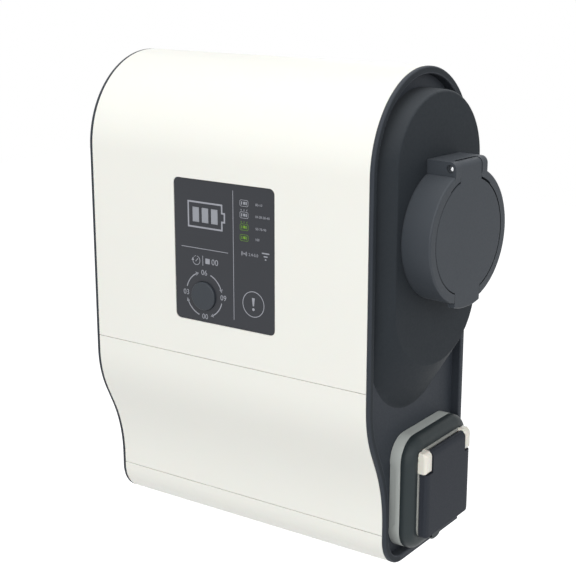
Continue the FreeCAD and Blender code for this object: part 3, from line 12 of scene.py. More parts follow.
import bmesh
import bpy
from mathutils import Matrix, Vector


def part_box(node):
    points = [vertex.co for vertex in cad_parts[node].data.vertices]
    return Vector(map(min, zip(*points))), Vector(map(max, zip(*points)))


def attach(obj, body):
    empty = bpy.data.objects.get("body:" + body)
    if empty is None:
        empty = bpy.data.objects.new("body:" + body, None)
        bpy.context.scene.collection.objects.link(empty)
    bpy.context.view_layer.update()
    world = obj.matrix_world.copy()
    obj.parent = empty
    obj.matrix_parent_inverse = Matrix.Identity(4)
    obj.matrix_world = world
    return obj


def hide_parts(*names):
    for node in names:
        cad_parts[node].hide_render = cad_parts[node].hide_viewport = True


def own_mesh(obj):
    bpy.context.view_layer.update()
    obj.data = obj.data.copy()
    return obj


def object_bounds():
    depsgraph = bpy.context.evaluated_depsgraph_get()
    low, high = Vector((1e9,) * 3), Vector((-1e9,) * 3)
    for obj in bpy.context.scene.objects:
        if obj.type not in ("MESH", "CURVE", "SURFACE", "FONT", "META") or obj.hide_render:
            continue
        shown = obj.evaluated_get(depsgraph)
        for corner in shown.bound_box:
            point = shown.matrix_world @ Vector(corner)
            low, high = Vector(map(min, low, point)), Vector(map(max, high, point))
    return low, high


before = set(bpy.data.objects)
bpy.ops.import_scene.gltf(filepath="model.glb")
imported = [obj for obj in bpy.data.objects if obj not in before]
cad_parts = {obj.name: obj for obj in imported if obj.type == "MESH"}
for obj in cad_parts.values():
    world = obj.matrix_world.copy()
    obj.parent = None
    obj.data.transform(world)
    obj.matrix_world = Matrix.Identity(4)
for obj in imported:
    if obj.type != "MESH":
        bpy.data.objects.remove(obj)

LOG = logging.getLogger("wallbox")
MM = 0.001
CAD_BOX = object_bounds()
WHITE = (1.0, 1.0, 1.0, 1.0)
# Corners of a CAD node's triangles that lie nearer than this, in metres, are one corner.
MERGE_REACH = 2e-6

Point = tuple[float, float]
Triple = tuple[float, float, float]
Colour = tuple[float, float, float, float]
Form = bmesh.types.BMesh
Loop = list[bmesh.types.BMVert]
Mesh = bpy.types.Mesh
Piece = bpy.types.Object
Material = bpy.types.Material
Node = bpy.types.Node
Feed = Node | bpy.types.NodeSocket | str


# Small tools


def linear(hex_colour: str) -> Colour:
    """Turn an sRGB hex colour into the linear values that a shader takes.

    Args:
        hex_colour: Six hex digits after a hash sign.

    Returns:
        Linear red, green and blue with a full alpha.
    """
    channels = []
    for start in (1, 3, 5):
        value = int(hex_colour[start : start + 2], 16) / 255
        channels.append(value / 12.92 if value <= 0.04045 else ((value + 0.055) / 1.055) ** 2.4)
    return channels[0], channels[1], channels[2], 1.0


def link_object(name: str, data: bpy.types.ID) -> Piece:
    """Put a mesh, text, lamp or camera into the scene as an object at the origin.

    Args:
        name: Name of the object and of its data.
        data: What the object holds; a mesh has its place in its vertices.

    Returns:
        The new object.
    """
    data.name = name
    piece = bpy.data.objects.new(name, data)
    bpy.context.scene.collection.objects.link(piece)
    return piece


def evaluated(piece: Piece) -> Mesh:
    """Return a new mesh of an object as its modifiers leave it.

    Args:
        piece: The object, which stays as it is.

    Returns:
        The evaluated mesh.
    """
    bpy.context.view_layer.update()
    graph = bpy.context.evaluated_depsgraph_get()
    return bpy.data.meshes.new_from_object(piece.evaluated_get(graph), depsgraph=graph)


def settled(piece: Piece) -> Piece:
    """Turn an object's live modifiers into plain mesh.

    Args:
        piece: The object whose modifiers are applied.

    Returns:
        The same object, with the evaluated mesh and no modifier.
    """
    mesh = evaluated(piece)
    mesh.name = piece.name
    piece.modifiers.clear()
    piece.data = mesh
    return piece


def dress(piece: Piece, material: Material) -> Piece:
    """Give an object one material only.

    Args:
        piece: The object.
        material: Its material.

    Returns:
        The same object.
    """
    piece.data.materials.clear()
    piece.data.materials.append(material)
    return piece


def merged(node: str) -> Form:
    """Return a CAD node's triangles as one joined form.

    Args:
        node: The CAD node, which stays as it is.

    Returns:
        The form, in metres.
    """
    form = bmesh.new()
    form.from_mesh(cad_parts[node].data)
    bmesh.ops.remove_doubles(form, verts=form.verts, dist=MERGE_REACH)
    return form


def wall(form: Form, near: Loop, far: Loop) -> None:
    """Join two closed loops with as many points by faces."""
    for side in range(len(near)):
        form.faces.new((near[side - 1], near[side], far[side], far[side - 1]))


def mesh_of(form: Form, name: str) -> Mesh:
    """Turn a closed form into a mesh whose faces point outwards.

    Args:
        form: The form, which is freed.
        name: Name of the mesh.

    Returns:
        The new mesh.
    """
    bmesh.ops.recalc_face_normals(form, faces=form.faces)
    mesh = bpy.data.meshes.new(name)
    form.to_mesh(mesh)
    form.free()
    return mesh


def loose_parts(node: str) -> list[list[Vector]]:
    """Return the points of each loose part of a CAD node.

    Args:
        node: The CAD node.

    Returns:
        One list of points for each part, in metres.
    """
    form = merged(node)
    seen: set[int] = set()
    parts = []
    for first in form.verts:
        waiting, points = [first], []
        while waiting:
            vert = waiting.pop()
            if vert.index not in seen:
                seen.add(vert.index)
                points.append(vert.co.copy())
                waiting += [edge.other_vert(vert) for edge in vert.link_edges]
        if points:
            parts.append(points)
    form.free()
    return parts


def polar(centre: Point, radius: float, angle: float) -> Point:
    """Return the place at a distance from a centre, at an angle in degrees."""
    turn = math.radians(angle)
    return centre[0] + radius * math.cos(turn), centre[1] + radius * math.sin(turn)


def arc(centre: Point, radius: float, start: float, end: float, steps: int) -> list[Point]:
    """Return the points of an arc between two angles in degrees, ends included."""
    return [polar(centre, radius, start + (end - start) * step / steps) for step in range(steps + 1)]


def ring(centre: Point, radius: float, steps: int) -> list[Point]:
    """Return points round a circle, with no point twice."""
    return arc(centre, radius, 0.0, 360.0, steps)[:-1]


# Node trees


class Net:
    """A node tree, and the node that feeds it by the names of its outputs.

    Attributes:
        tree: The node tree.
        source: Its coordinates, its light path or its named inputs.
    """

    def __init__(self, tree: bpy.types.NodeTree, source: str) -> None:
        """Empty the tree and give it its source.

        Args:
            tree: The node tree.
            source: Blender's type name of the node that feeds it.
        """
        tree.nodes.clear()
        self.tree = tree
        self.source = self.add(source)

    def add(
        self,
        kind: str,
        settings: dict[str, object] | None = None,
        inputs: dict[str | int, object] | None = None,
        links: dict[str | int, Feed] | None = None,
    ) -> Node:
        """Add one node with its settings, constants and incoming links.

        Args:
            kind: Blender's type name of the node.
            settings: Attribute values of the node.
            inputs: Constants, by socket name or number.
            links: What feeds a socket, by its name or number: a node's first output, any output,
                or the name of one of the source's outputs.

        Returns:
            The new node.
        """
        node = self.tree.nodes.new(kind)
        for key, value in (settings or {}).items():
            setattr(node, key, value)
        for key, value in (inputs or {}).items():
            node.inputs[key].default_value = value
        for key, feed in (links or {}).items():
            if isinstance(feed, str):
                feed = self.source.outputs[feed]
            elif isinstance(feed, bpy.types.Node):
                feed = feed.outputs[0]
            self.tree.links.new(feed, node.inputs[key])
        return node

    def close(self, shape: Node) -> bpy.types.NodeTree:
        """End a geometry tree in real geometry with its material.

        Args:
            shape: The node that gives the geometry so far.

        Returns:
            The finished tree.
        """
        real = self.add("GeometryNodeRealizeInstances", links={"Geometry": shape})
        dressed = self.add("GeometryNodeSetMaterial", links={"Geometry": real, "Material": "Finish"})
        self.add("NodeGroupOutput", links={"Geometry": dressed})
        return self.tree


def geometry_net(name: str, sockets: dict[str, str]) -> Net:
    """Make a geometry node tree with named inputs.

    Args:
        name: Name of the tree.
        sockets: Kind of each input's socket, by the input's name.

    Returns:
        The tree, fed by its inputs.
    """
    tree = bpy.data.node_groups.new(name, "GeometryNodeTree")
    for label, kind in {"Geometry": "Geometry", **sockets}.items():
        tree.interface.new_socket(label, in_out="INPUT", socket_type=f"NodeSocket{kind}")
    tree.interface.new_socket("Geometry", in_out="OUTPUT", socket_type="NodeSocketGeometry")
    return Net(tree, "NodeGroupInput")


def scatter_tree() -> bpy.types.NodeTree:
    """Return the tree that drives a screw in at every point.

    Returns:
        A tree that sets the screw on each point, along the point's way, at a random turn.
    """
    known = bpy.data.node_groups.get("driven_screws")
    if known:
        return known
    sockets = {"Screw": "Object", "Most turn": "Float", "Seed": "Int", "Finish": "Material"}
    net = geometry_net("driven_screws", sockets)
    way = net.add("GeometryNodeInputNamedAttribute", {"data_type": "FLOAT_VECTOR"}, {"Name": "way"})
    along = net.add("FunctionNodeAlignRotationToVector", {"axis": "Z"}, links={"Vector": way})
    screw = net.add("GeometryNodeObjectInfo", links={"Object": "Screw"})
    spread = net.add(
        "GeometryNodeInstanceOnPoints",
        links={"Points": "Geometry", "Instance": screw.outputs["Geometry"], "Rotation": along},
    )
    turn = net.add(
        "FunctionNodeRandomValue", {"data_type": "FLOAT"}, links={"Max": "Most turn", "Seed": "Seed"}
    )
    spin = net.add(
        "FunctionNodeAxisAngleToRotation", inputs={"Axis": (0, 0, 1)}, links={"Angle": turn.outputs["Value"]}
    )
    return net.close(net.add("GeometryNodeRotateInstances", links={"Instances": spread, "Rotation": spin}))


def coil_tree() -> bpy.types.NodeTree:
    """Return the tree that winds a wire into a coil.

    Returns:
        A tree whose coil stands on the origin along Z, before it is turned and moved.
    """
    sizes = {name: "Float" for name in ("Radius", "Wire", "Turns", "Height")}
    net = geometry_net("wound_coil", {**sizes, "Turn": "Rotation", "Place": "Vector", "Finish": "Material"})
    spiral = net.add(
        "GeometryNodeCurveSpiral", inputs={"Resolution": 40},
        links={"Rotations": "Turns", "Start Radius": "Radius", "End Radius": "Radius", "Height": "Height"},
    )
    wire = net.add("GeometryNodeCurvePrimitiveCircle", inputs={"Resolution": 12}, links={"Radius": "Wire"})
    tube = net.add(
        "GeometryNodeCurveToMesh", inputs={"Fill Caps": True}, links={"Curve": spiral, "Profile Curve": wire}
    )
    return net.close(
        net.add("GeometryNodeTransform", links={"Geometry": tube, "Translation": "Place", "Rotation": "Turn"})
    )


def grow(piece: Piece, tree: bpy.types.NodeTree, values: dict[str, object]) -> Piece:
    """Run a geometry node tree on an object and keep the result as plain mesh.

    Args:
        piece: The object that carries the tree.
        tree: The tree.
        values: The tree's inputs, by name.

    Returns:
        The same object, with the grown mesh.
    """
    modifier = piece.modifiers.new(tree.name, "NODES")
    modifier.node_group = tree
    for item in tree.interface.items_tree:
        if item.item_type == "SOCKET" and item.in_out == "INPUT" and item.name in values:
            modifier[item.identifier] = values[item.name]
    return settled(piece)


# Finishes

# Most of a noise's values lie in this span, and each finer octave keeps this share of the last.
NOISE_SPAN = (0.3, 0.7)
NOISE_KEEP = 0.55
# How deep light goes into a pale moulding, in mm.
SCATTER_REACH = 0.6
# Painted top light: a pale tone starts on a face whose normal has the first upward part, and lies in full from the
# second.
TOP_LIGHT_SPAN = (0.15, 0.8)
TOP_LIGHT_TONE = "#93979B"
# Painted shade, as a share of the finish's tone, darkens narrow joints where less and less of the air within reach
# is open.
JOINT_SHADE_SPAN = (0.9, 0.45)
JOINT_SHADE_TONE = 0.12
JOINT_SHADE_REACH = 1.6
# Hands polish an edge, where a face's normal is less and less like the one rounded over the reach: the edge is
# smoother, and a paler tone on it is a painted highlight.
POLISH_AND_HIGHLIGHT_SPAN = (0.995, 0.9)
EDGE_HIGHLIGHT_TONE = 1.9
POLISH_REACH = 0.5
POLISH_GLOSS = -0.15


@dataclass(frozen=True)
class Finish:
    """A procedural finish: a tone that wanders, a grain that breaks the gloss, and a bump.

    Attributes:
        name: The material and how its surface was made.
        colour: Middle colour, as sRGB hex.
        roughness: Middle roughness.
        slot: The record's material slot that it stands for.
        tone: How far the colour wanders, as a share of itself.
        tone_size: Size of the colour's patches, in mm.
        grain_size: Size of the grain, in mm.
        grain_depth: Depth of the grain, in mm.
        gloss_spread: How far the roughness wanders with the grain.
        ior: Index of refraction.
        metallic: 1 for a metal, else 0.
        subsurface: Weight of light that scatters under the surface.
        glow: Strength of the light that comes through it from a lamp behind.
        sheen_level: Share of the mirror light that leaves the texture, where 0.5 is all of it.
        edge_polish_and_highlight: How much smoother the handled edges are, and how strongly a painted highlight
            makes them paler, from 0 to 1.
        painted_joint_shade: How much painted shade darkens narrow joints, from 0 to 1.
        painted_top_light: Share of a pale tone painted on faces that look straight up, as painted light from above.
    """

    name: str
    colour: str
    roughness: float
    slot: str
    tone: float = 0.02
    tone_size: float = 25.0
    grain_size: float = 0.5
    grain_depth: float = 0.01
    gloss_spread: float = 0.04
    ior: float = 1.5
    metallic: float = 0.0
    subsurface: float = 0.0
    glow: float = 0.0
    sheen_level: float = 0.5
    edge_polish_and_highlight: float = 0.0
    painted_joint_shade: float = 0.0
    painted_top_light: float = 0.0

    def build(self) -> Material:
        """Return the material, made once and then reused.

        Returns:
            The material, with all its nodes on object coordinates.
        """
        known = bpy.data.materials.get(self.name)
        if known:
            return known
        material = bpy.data.materials.new(self.name)
        material.use_nodes = True
        net = Net(material.node_tree, "ShaderNodeTexCoord")
        pattern, span, *tones = self.tones(net)
        ramp = net.add("ShaderNodeValToRGB", links={0: pattern})
        for stop, position, tone in zip(ramp.color_ramp.elements, span, tones):
            stop.position = position
            stop.color = tone
        least, most = self.roughness - self.gloss_spread, self.roughness + self.gloss_spread
        rough = net.add(
            "ShaderNodeMapRange",
            inputs={"From Min": NOISE_SPAN[0], "From Max": NOISE_SPAN[1], "To Min": least, "To Max": most},
            links={"Value": self.noise(net, self.grain_size * 3, 2.0)},
        )
        bump = net.add(
            "ShaderNodeBump", inputs={"Strength": 1.0, "Distance": self.grain_depth * MM},
            links={"Height": self.height(net)},
        )
        # Paint light and shade into the colour, and polish the edges.
        colour, roughness = self.painted_light_and_polish(net, ramp, rough)
        inputs = {
            "IOR": self.ior,
            "Metallic": self.metallic,
            "Subsurface Weight": self.subsurface,
            "Specular IOR Level": self.sheen_level,
        }
        if self.subsurface:
            inputs["Subsurface Scale"] = SCATTER_REACH * MM
        if self.glow:
            inputs |= {"Emission Color": linear(self.colour), "Emission Strength": self.glow}
        links = {"Base Color": colour, "Roughness": roughness, "Normal": bump}
        shader = net.add("ShaderNodeBsdfPrincipled", inputs=inputs, links=links)
        net.add("ShaderNodeOutputMaterial", links={"Surface": shader})
        return material

    def shade(self, factor: float) -> Colour:
        """Return the middle colour made darker or lighter by a factor."""
        red, green, blue, alpha = linear(self.colour)
        return min(1.0, red * factor), min(1.0, green * factor), min(1.0, blue * factor), alpha

    def tones(self, net: Net) -> tuple[Node, Point, Colour, Colour]:
        """Return the pattern of the colour, the span that counts, and the colour at its ends."""
        pattern = self.noise(net, self.tone_size, 3.0)
        return pattern, NOISE_SPAN, self.shade(1 - self.tone), self.shade(1 + self.tone)

    def height(self, net: Net) -> Node:
        """Return the height of the grain; a plain moulding has soft pits."""
        return self.noise(net, self.grain_size, 2.0)

    def noise(self, net: Net, size: float, detail: float, place: Feed = "Object") -> Node:
        """Add a noise whose features have a real size in mm, with octaves of finer detail."""
        sizes = {"Scale": 1 / (size * MM), "Detail": detail, "Roughness": NOISE_KEEP}
        return net.add("ShaderNodeTexNoise", inputs=sizes, links={"Vector": place})

    def upward(self, net: Net) -> Feed:
        """Return how far a face looks up."""
        return net.add("ShaderNodeSeparateXYZ", links={"Vector": "Normal"}).outputs["Z"]

    def openness(self, net: Net) -> Feed:
        """Return the open share of the air round a point."""
        reach = {"Distance": JOINT_SHADE_REACH * MM}
        return net.add("ShaderNodeAmbientOcclusion", {"samples": 6}, reach).outputs["AO"]

    def flatness(self, net: Net) -> Feed:
        """Return how like the rounded normal a face's own is.

        Args:
            net: The material's nodes.

        Returns:
            The measure, 1 on a flat and less along an edge.
        """
        rounded = net.add("ShaderNodeBevel", {"samples": 4}, {"Radius": POLISH_REACH * MM})
        own = net.add("ShaderNodeNewGeometry").outputs["Normal"]
        alike = net.add("ShaderNodeVectorMath", {"operation": "DOT_PRODUCT"}, links={0: rounded, 1: own})
        return alike.outputs["Value"]

    def painted_light_and_polish(self, net: Net, colour: Feed, roughness: Feed) -> tuple[Feed, Feed]:
        """Lay on the painted top light, the painted shade of the joints, and the edge polish with its painted
        highlight.

        Args:
            net: The material's nodes.
            colour: The base colour.
            roughness: The base roughness.

        Returns:
            The colour and roughness with the painted light, the painted shade and the polish laid on.
        """
        # Each layer mixes painted light and shade into the colour: pale on upward faces, dark in narrow joints, pale
        # on edges, which also get smoother.
        layers = (
            (self.painted_top_light, self.upward, TOP_LIGHT_SPAN, linear(TOP_LIGHT_TONE), 0.0),
            (self.painted_joint_shade, self.openness, JOINT_SHADE_SPAN, self.shade(JOINT_SHADE_TONE), 0.0),
            (self.edge_polish_and_highlight, self.flatness, POLISH_AND_HIGHLIGHT_SPAN, self.shade(EDGE_HIGHLIGHT_TONE), POLISH_GLOSS),
        )
        for most, measure, (start, end), tone, gloss in layers:
            if not most:
                continue
            share = net.add(
                "ShaderNodeMapRange", inputs={"From Min": start, "From Max": end, "To Min": 0.0, "To Max": most},
                links={"Value": measure(net)},
            )
            mixed = net.add("ShaderNodeMix", {"data_type": "RGBA"}, {7: tone}, {0: share, 6: colour})
            colour = mixed.outputs[2]
            if gloss:
                links = {0: share, 2: roughness}
                roughness = net.add("ShaderNodeMath", {"operation": "MULTIPLY_ADD"}, {1: gloss}, links)
        return colour, roughness


@dataclass(frozen=True)
class SparkEroded(Finish):
    """A moulding from a spark eroded tool: small round craters that scatter the light.

    The real craters are 0.1 to 0.3 mm wide and don't show, so they are drawn two to three times as coarse.

    Attributes:
        smoothness: How softly the craters run into each other.
        crater_share: How much of the height they give; soft noise gives the rest.
        pit_share: Size of that noise, as a share of a crater.
    """

    smoothness: float = 0.6
    crater_share: float = 0.6
    pit_share: float = 0.7

    def height(self, net: Net) -> Node:
        """Return craters, with soft noise between them.

        Args:
            net: The material's nodes.

        Returns:
            The node that gives the height.
        """
        sizes = {"Scale": 1 / (self.grain_size * MM), "Smoothness": self.smoothness}
        craters = net.add("ShaderNodeTexVoronoi", {"feature": "SMOOTH_F1"}, sizes, {"Vector": "Object"})
        pits = self.noise(net, self.grain_size * self.pit_share, 2.0)
        links = {0: craters.outputs["Distance"], 2: pits}
        return net.add("ShaderNodeMath", {"operation": "MULTIPLY_ADD"}, {1: self.crater_share}, links)


@dataclass(frozen=True)
class Drawn(Finish):
    """A metal with fine lines along the way that it was drawn, rolled or turned.

    Attributes:
        stretch: How many times longer than wide the lines are, along each axis.
    """

    metallic: float = 1.0
    stretch: Triple = (1.0, 1.0, 1.0)

    def noise(self, net: Net, size: float, detail: float, place: Feed = "Object") -> Node:
        """Add a noise that is drawn out along the lines."""
        scale = {"Scale": tuple(1 / along for along in self.stretch)}
        return super().noise(net, size, detail, net.add("ShaderNodeMapping", None, scale, {"Vector": place}))


@dataclass(frozen=True)
class SolderMask(Finish):
    """A circuit board: lacquer over copper tracks, which show as paler lines.

    Attributes:
        track_colour: Colour over the copper.
        cell: Size of a block of tracks, in mm.
        scatter: How far the blocks leave an even grid, from 0 to 1.
        track_pitch: Distance between tracks, as a share of a block.
        track_span: The part of it where lacquer turns to track.
    """

    track_colour: str = "#2F7A4E"
    cell: float = 10.16
    scatter: float = 0.8
    track_pitch: float = 0.06
    track_span: Point = (0.03, 0.035)

    def tones(self, net: Net) -> tuple[Node, Point, Colour, Colour]:
        """Return tracks that run round square cells, in place of a tone that wanders.

        Args:
            net: The material's nodes.

        Returns:
            The tracks, the span from lacquer to track, and the colours of both.
        """
        shape = {"feature": "F1", "distance": "CHEBYCHEV"}
        sizes = {"Scale": 1 / (self.cell * MM), "Randomness": self.scatter}
        cells = net.add("ShaderNodeTexVoronoi", shape, sizes, {"Vector": "Object"})
        links = {0: cells.outputs["Distance"]}
        lines = net.add("ShaderNodeMath", {"operation": "PINGPONG"}, {1: self.track_pitch}, links)
        return lines, self.track_span, self.shade(1.0), linear(self.track_colour)


# ASA, moulded in a fine eroded tool: an even warm white with a soft sheen.
COVER_WHITE = SparkEroded(
    "ASA_moulded_warm_white", "#F1F1EA", 0.42, "white_cover",
    tone=0.006, tone_size=140.0, grain_size=0.7, grain_depth=0.006, gloss_spread=0.03, subsurface=0.04,
)
# Glass filled polyamide in an eroded tool: blue black, and dull where the light grazes it. It carries painted top
# light on upward faces and a painted highlight on its polished edges.
CHEEK_DARK = SparkEroded(
    "PA_GF_moulded_anthracite", "#31363D", 0.62, "dark_shell", tone=0.035, tone_size=45.0,
    grain_size=0.6, grain_depth=0.014, gloss_spread=0.05, sheen_level=0.24, edge_polish_and_highlight=0.35, painted_top_light=0.07,
)
# The pod's insert in the same tool is eroded coarser, so it swallows more light than the floor round it; it carries
# painted top light and a painted edge highlight too.
POD_DARK = SparkEroded(
    "PA_GF_moulded_coarse_anthracite", "#272C31", 0.7, "dark_shell", tone=0.03, tone_size=45.0,
    grain_size=0.75, grain_depth=0.018, sheen_level=0.2, edge_polish_and_highlight=0.3, painted_top_light=0.1,
)
# The same polyamide in a finer tool: a lighter grey, with a soft highlight on round faces. Painted shade darkens its
# narrow joints, and it carries painted top light and a painted edge highlight too.
SOCKET_DARK = SparkEroded(
    "PA_moulded_slate", "#3A3F45", 0.54, "socket_shell", tone=0.03, tone_size=35.0,
    grain_depth=0.009, gloss_spread=0.05, sheen_level=0.3, edge_polish_and_highlight=0.25, painted_joint_shade=0.75, painted_top_light=0.06,
)
# The lid's tool is finer still: the same grey, more even, and barely worn, so its painted edge highlight is faint.
# Painted shade darkens its narrow joints, and a little painted top light lies on its upward faces.
LID_DARK = SparkEroded(
    "PA_moulded_slate_lid", "#3A3F45", 0.55, "socket_shell", tone=0.025, tone_size=35.0,
    grain_depth=0.007, sheen_level=0.28, edge_polish_and_highlight=0.15, painted_joint_shade=0.75, painted_top_light=0.03,
)
# Polycarbonate sheet with a matt hard coat: flat, even and slightly brown in the dark.
PANEL_DARK = Finish(
    "PC_hard_coated_graphite", "#33353A", 0.38, "panel_lens", tone_size=50.0,
    grain_size=0.35, grain_depth=0.003, gloss_spread=0.03, ior=1.58, sheen_level=0.22,
)
# Moulded ABS with a satin cap, a shade cooler than the panel round it, with a painted highlight on its polished
# edges.
BUTTON_DARK = SparkEroded(
    "ABS_moulded_satin_graphite", "#353A40", 0.42, "button", tone_size=20.0,
    grain_size=0.4, grain_depth=0.005, sheen_level=0.3, edge_polish_and_highlight=0.3,
)
# Screen printed ink: thin, matt, and a little thicker at the mesh's knots.
INK_PALE = Finish(
    "ink_screen_printed_pale", "#9A9CA4", 0.6, "panel_lens",
    tone=0.03, tone_size=6.0, grain_size=0.25, grain_depth=0.004,
)
# The same ink in green, for the two lower states.
INK_GREEN = Finish(
    "ink_screen_printed_green", "#587F22", 0.55, "panel_lens",
    tone=0.04, tone_size=5.0, grain_size=0.25, grain_depth=0.004,
)
# Frosted acrylic with a lamp behind it: it glows evenly and hides the lamp.
GUIDE_PALE = Finish(
    "PMMA_frosted_light_guide", "#8F9299", 0.45, "light_guide",
    tone_size=8.0, grain_size=0.3, grain_depth=0.003, glow=0.05,
)
# The same acrylic over a green lamp, a little brighter.
GUIDE_GREEN = Finish(
    "PMMA_frosted_light_guide_green", "#679226", 0.45, "light_guide",
    tone=0.03, tone_size=4.0, grain_size=0.3, grain_depth=0.003, glow=0.08,
)
# Moulded polycarbonate blend in mid grey, with the dull skin of a wiring box and a painted highlight on its polished
# edges.
PLATE_GREY = SparkEroded(
    "PC_ABS_moulded_grey", "#C2C7C3", 0.5, "grey_plate",
    tone=0.025, tone_size=30.0, grain_depth=0.008, sheen_level=0.4, edge_polish_and_highlight=0.2,
)
# The same blend in green black: it frames the flap as the darkest surface, with a painted highlight on its polished
# edges.
SURROUND_DARK = SparkEroded(
    "PC_ABS_moulded_green_black", "#293133", 0.5, "surround",
    tone=0.03, tone_size=30.0, sheen_level=0.28, edge_polish_and_highlight=0.35,
)
# The same blend in blue black and rougher, so that a flat face stays dark; its polished edges carry a painted
# highlight.
FLAP_DARK = SparkEroded(
    "PC_ABS_moulded_blue_black", "#2A2E35", 0.66, "flap",
    tone=0.03, tone_size=30.0, sheen_level=0.2, edge_polish_and_highlight=0.3,
)
# Moulded in a polished tool: a creamy white that lets a little light in.
FRAME_CREAM = Finish(
    "PC_moulded_cream", "#EAE7DC", 0.35, "pale_frame",
    tone=0.012, grain_size=0.6, grain_depth=0.003, subsurface=0.08,
)
# The frame's thin rim in the same tool, left matt and painted a darker grey as painted shade from the flap over it:
# it reads as a pale grey line round the flap.
FRAME_RIM_PAINTED_SHADE = SparkEroded(
    "PC_moulded_cream_matt_rim", "#A5A7A2", 0.6, "pale_frame", tone=0.015, grain_size=0.6, grain_depth=0.008
)
# Mineral filled polyester for what carries contacts: matt and near black.
INSULATOR_BLACK = Finish("PBT_moulded_black", "#26282B", 0.5, "insert", tone=0.04, tone_size=18.0, grain_depth=0.008)
# The same polyester in off white: even and a little smoother.
INSULATOR_WHITE = Finish(
    "PBT_moulded_off_white", "#D9D8D0", 0.42, "insert", tone=0.015, tone_size=18.0, grain_depth=0.005
)
# Back plate and inner mouldings: recycled black, with flow marks that show at a low angle.
CARRIER_BLACK = SparkEroded(
    "PC_ABS_moulded_black", "#2B2D30", 0.58, "dark_shell",
    tone=0.06, tone_size=55.0, grain_size=0.9, grain_depth=0.02,
)
# Zinc plated steel: bright, faintly blue, with turning marks.
STEEL_PLATED = Drawn(
    "steel_zinc_plated", "#C3C7CB", 0.3, "steel",
    tone=0.05, tone_size=4.0, grain_size=0.3, grain_depth=0.004, stretch=(1.0, 6.0, 1.0),
)
# Ground stainless steel: the brightest metal, with fine marks along the pins.
STEEL_GROUND = Drawn(
    "stainless_steel_ground", "#E2E4E6", 0.16, "steel",
    tone_size=3.0, grain_size=0.2, grain_depth=0.002, stretch=(1.0, 8.0, 1.0),
)
# Galvanised strip: dull, cloudy, with long marks from the rolls.
STEEL_ROLLED = Drawn(
    "steel_rolled_galvanised", "#B4B8BA", 0.38, "steel",
    tone=0.08, tone_size=12.0, grain_depth=0.006, stretch=(12.0, 1.0, 1.0),
)
# Turned brass with a thin silver layer: warm in the shade, pale on the lit side.
BRASS_SILVERED = Drawn(
    "brass_turned_silver_plated", "#D8CDA8", 0.26, "brass",
    tone=0.05, tone_size=3.0, grain_size=0.2, grain_depth=0.002, stretch=(6.0, 1.0, 1.0),
)
# Thermoplastic elastomer: dead matt, and it grips dust as faint paler patches.
SEAL_BLACK = Finish(
    "TPE_moulded_black", "#1E2022", 0.78, "seal",
    tone=0.12, tone_size=9.0, grain_size=0.8, grain_depth=0.012, ior=1.48,
)
# Glass cloth under green lacquer: a deep, even green, with tracks a shade lighter.
BOARD_GREEN = SolderMask(
    "FR4_solder_mask_green", "#1F5C3A", 0.35, "board", tone=0.05, tone_size=20.0, grain_size=0.6
)
# Light grey polyamide of switchgear: dull and even.
SWITCHGEAR_GREY = SparkEroded("PA_moulded_light_grey", "#C9CCCB", 0.52, "gear", grain_size=0.6)


# Skins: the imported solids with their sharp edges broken


@dataclass(frozen=True)
class EdgeBreak:
    """How the sharp edges of a moulding are broken.

    Attributes:
        width: Width of the break, in mm.
        segments: Facets across it.
        angle: Edges that turn more than this many degrees are broken.
        flat_angle: Facets that turn less than this many degrees are one flat.
        flat_weight: How far the flats rule the shading over the breaks, of 100.
    """

    width: float = 0.3
    segments: int = 2
    angle: float = 34.0
    flat_angle: float = 0.25
    flat_weight: int = 80

    def soften(self, piece: Piece) -> Piece:
        """Break an object's edges, and shade its flats evenly.

        Args:
            piece: The object, with no modifier.

        Returns:
            The same object, as plain mesh.
        """
        piece.data.shade_smooth()
        bevel = piece.modifiers.new("edge_break", "BEVEL")
        bevel.width = self.width * MM
        bevel.segments = self.segments
        bevel.limit_method = "ANGLE"
        bevel.angle_limit = math.radians(self.angle)
        bevel.miter_outer = "MITER_ARC"
        bevel.use_clamp_overlap = True
        bevel.harden_normals = False
        even = piece.modifiers.new("even_flats", "WEIGHTED_NORMAL")
        even.keep_sharp = True
        even.weight = self.flat_weight
        return settled(piece)


class Roll(Enum):
    """Which sides of a region roll away along an axis, by the sign of each."""

    NONE = ()
    HIGH = (1,)
    BOTH = (-1, 1)


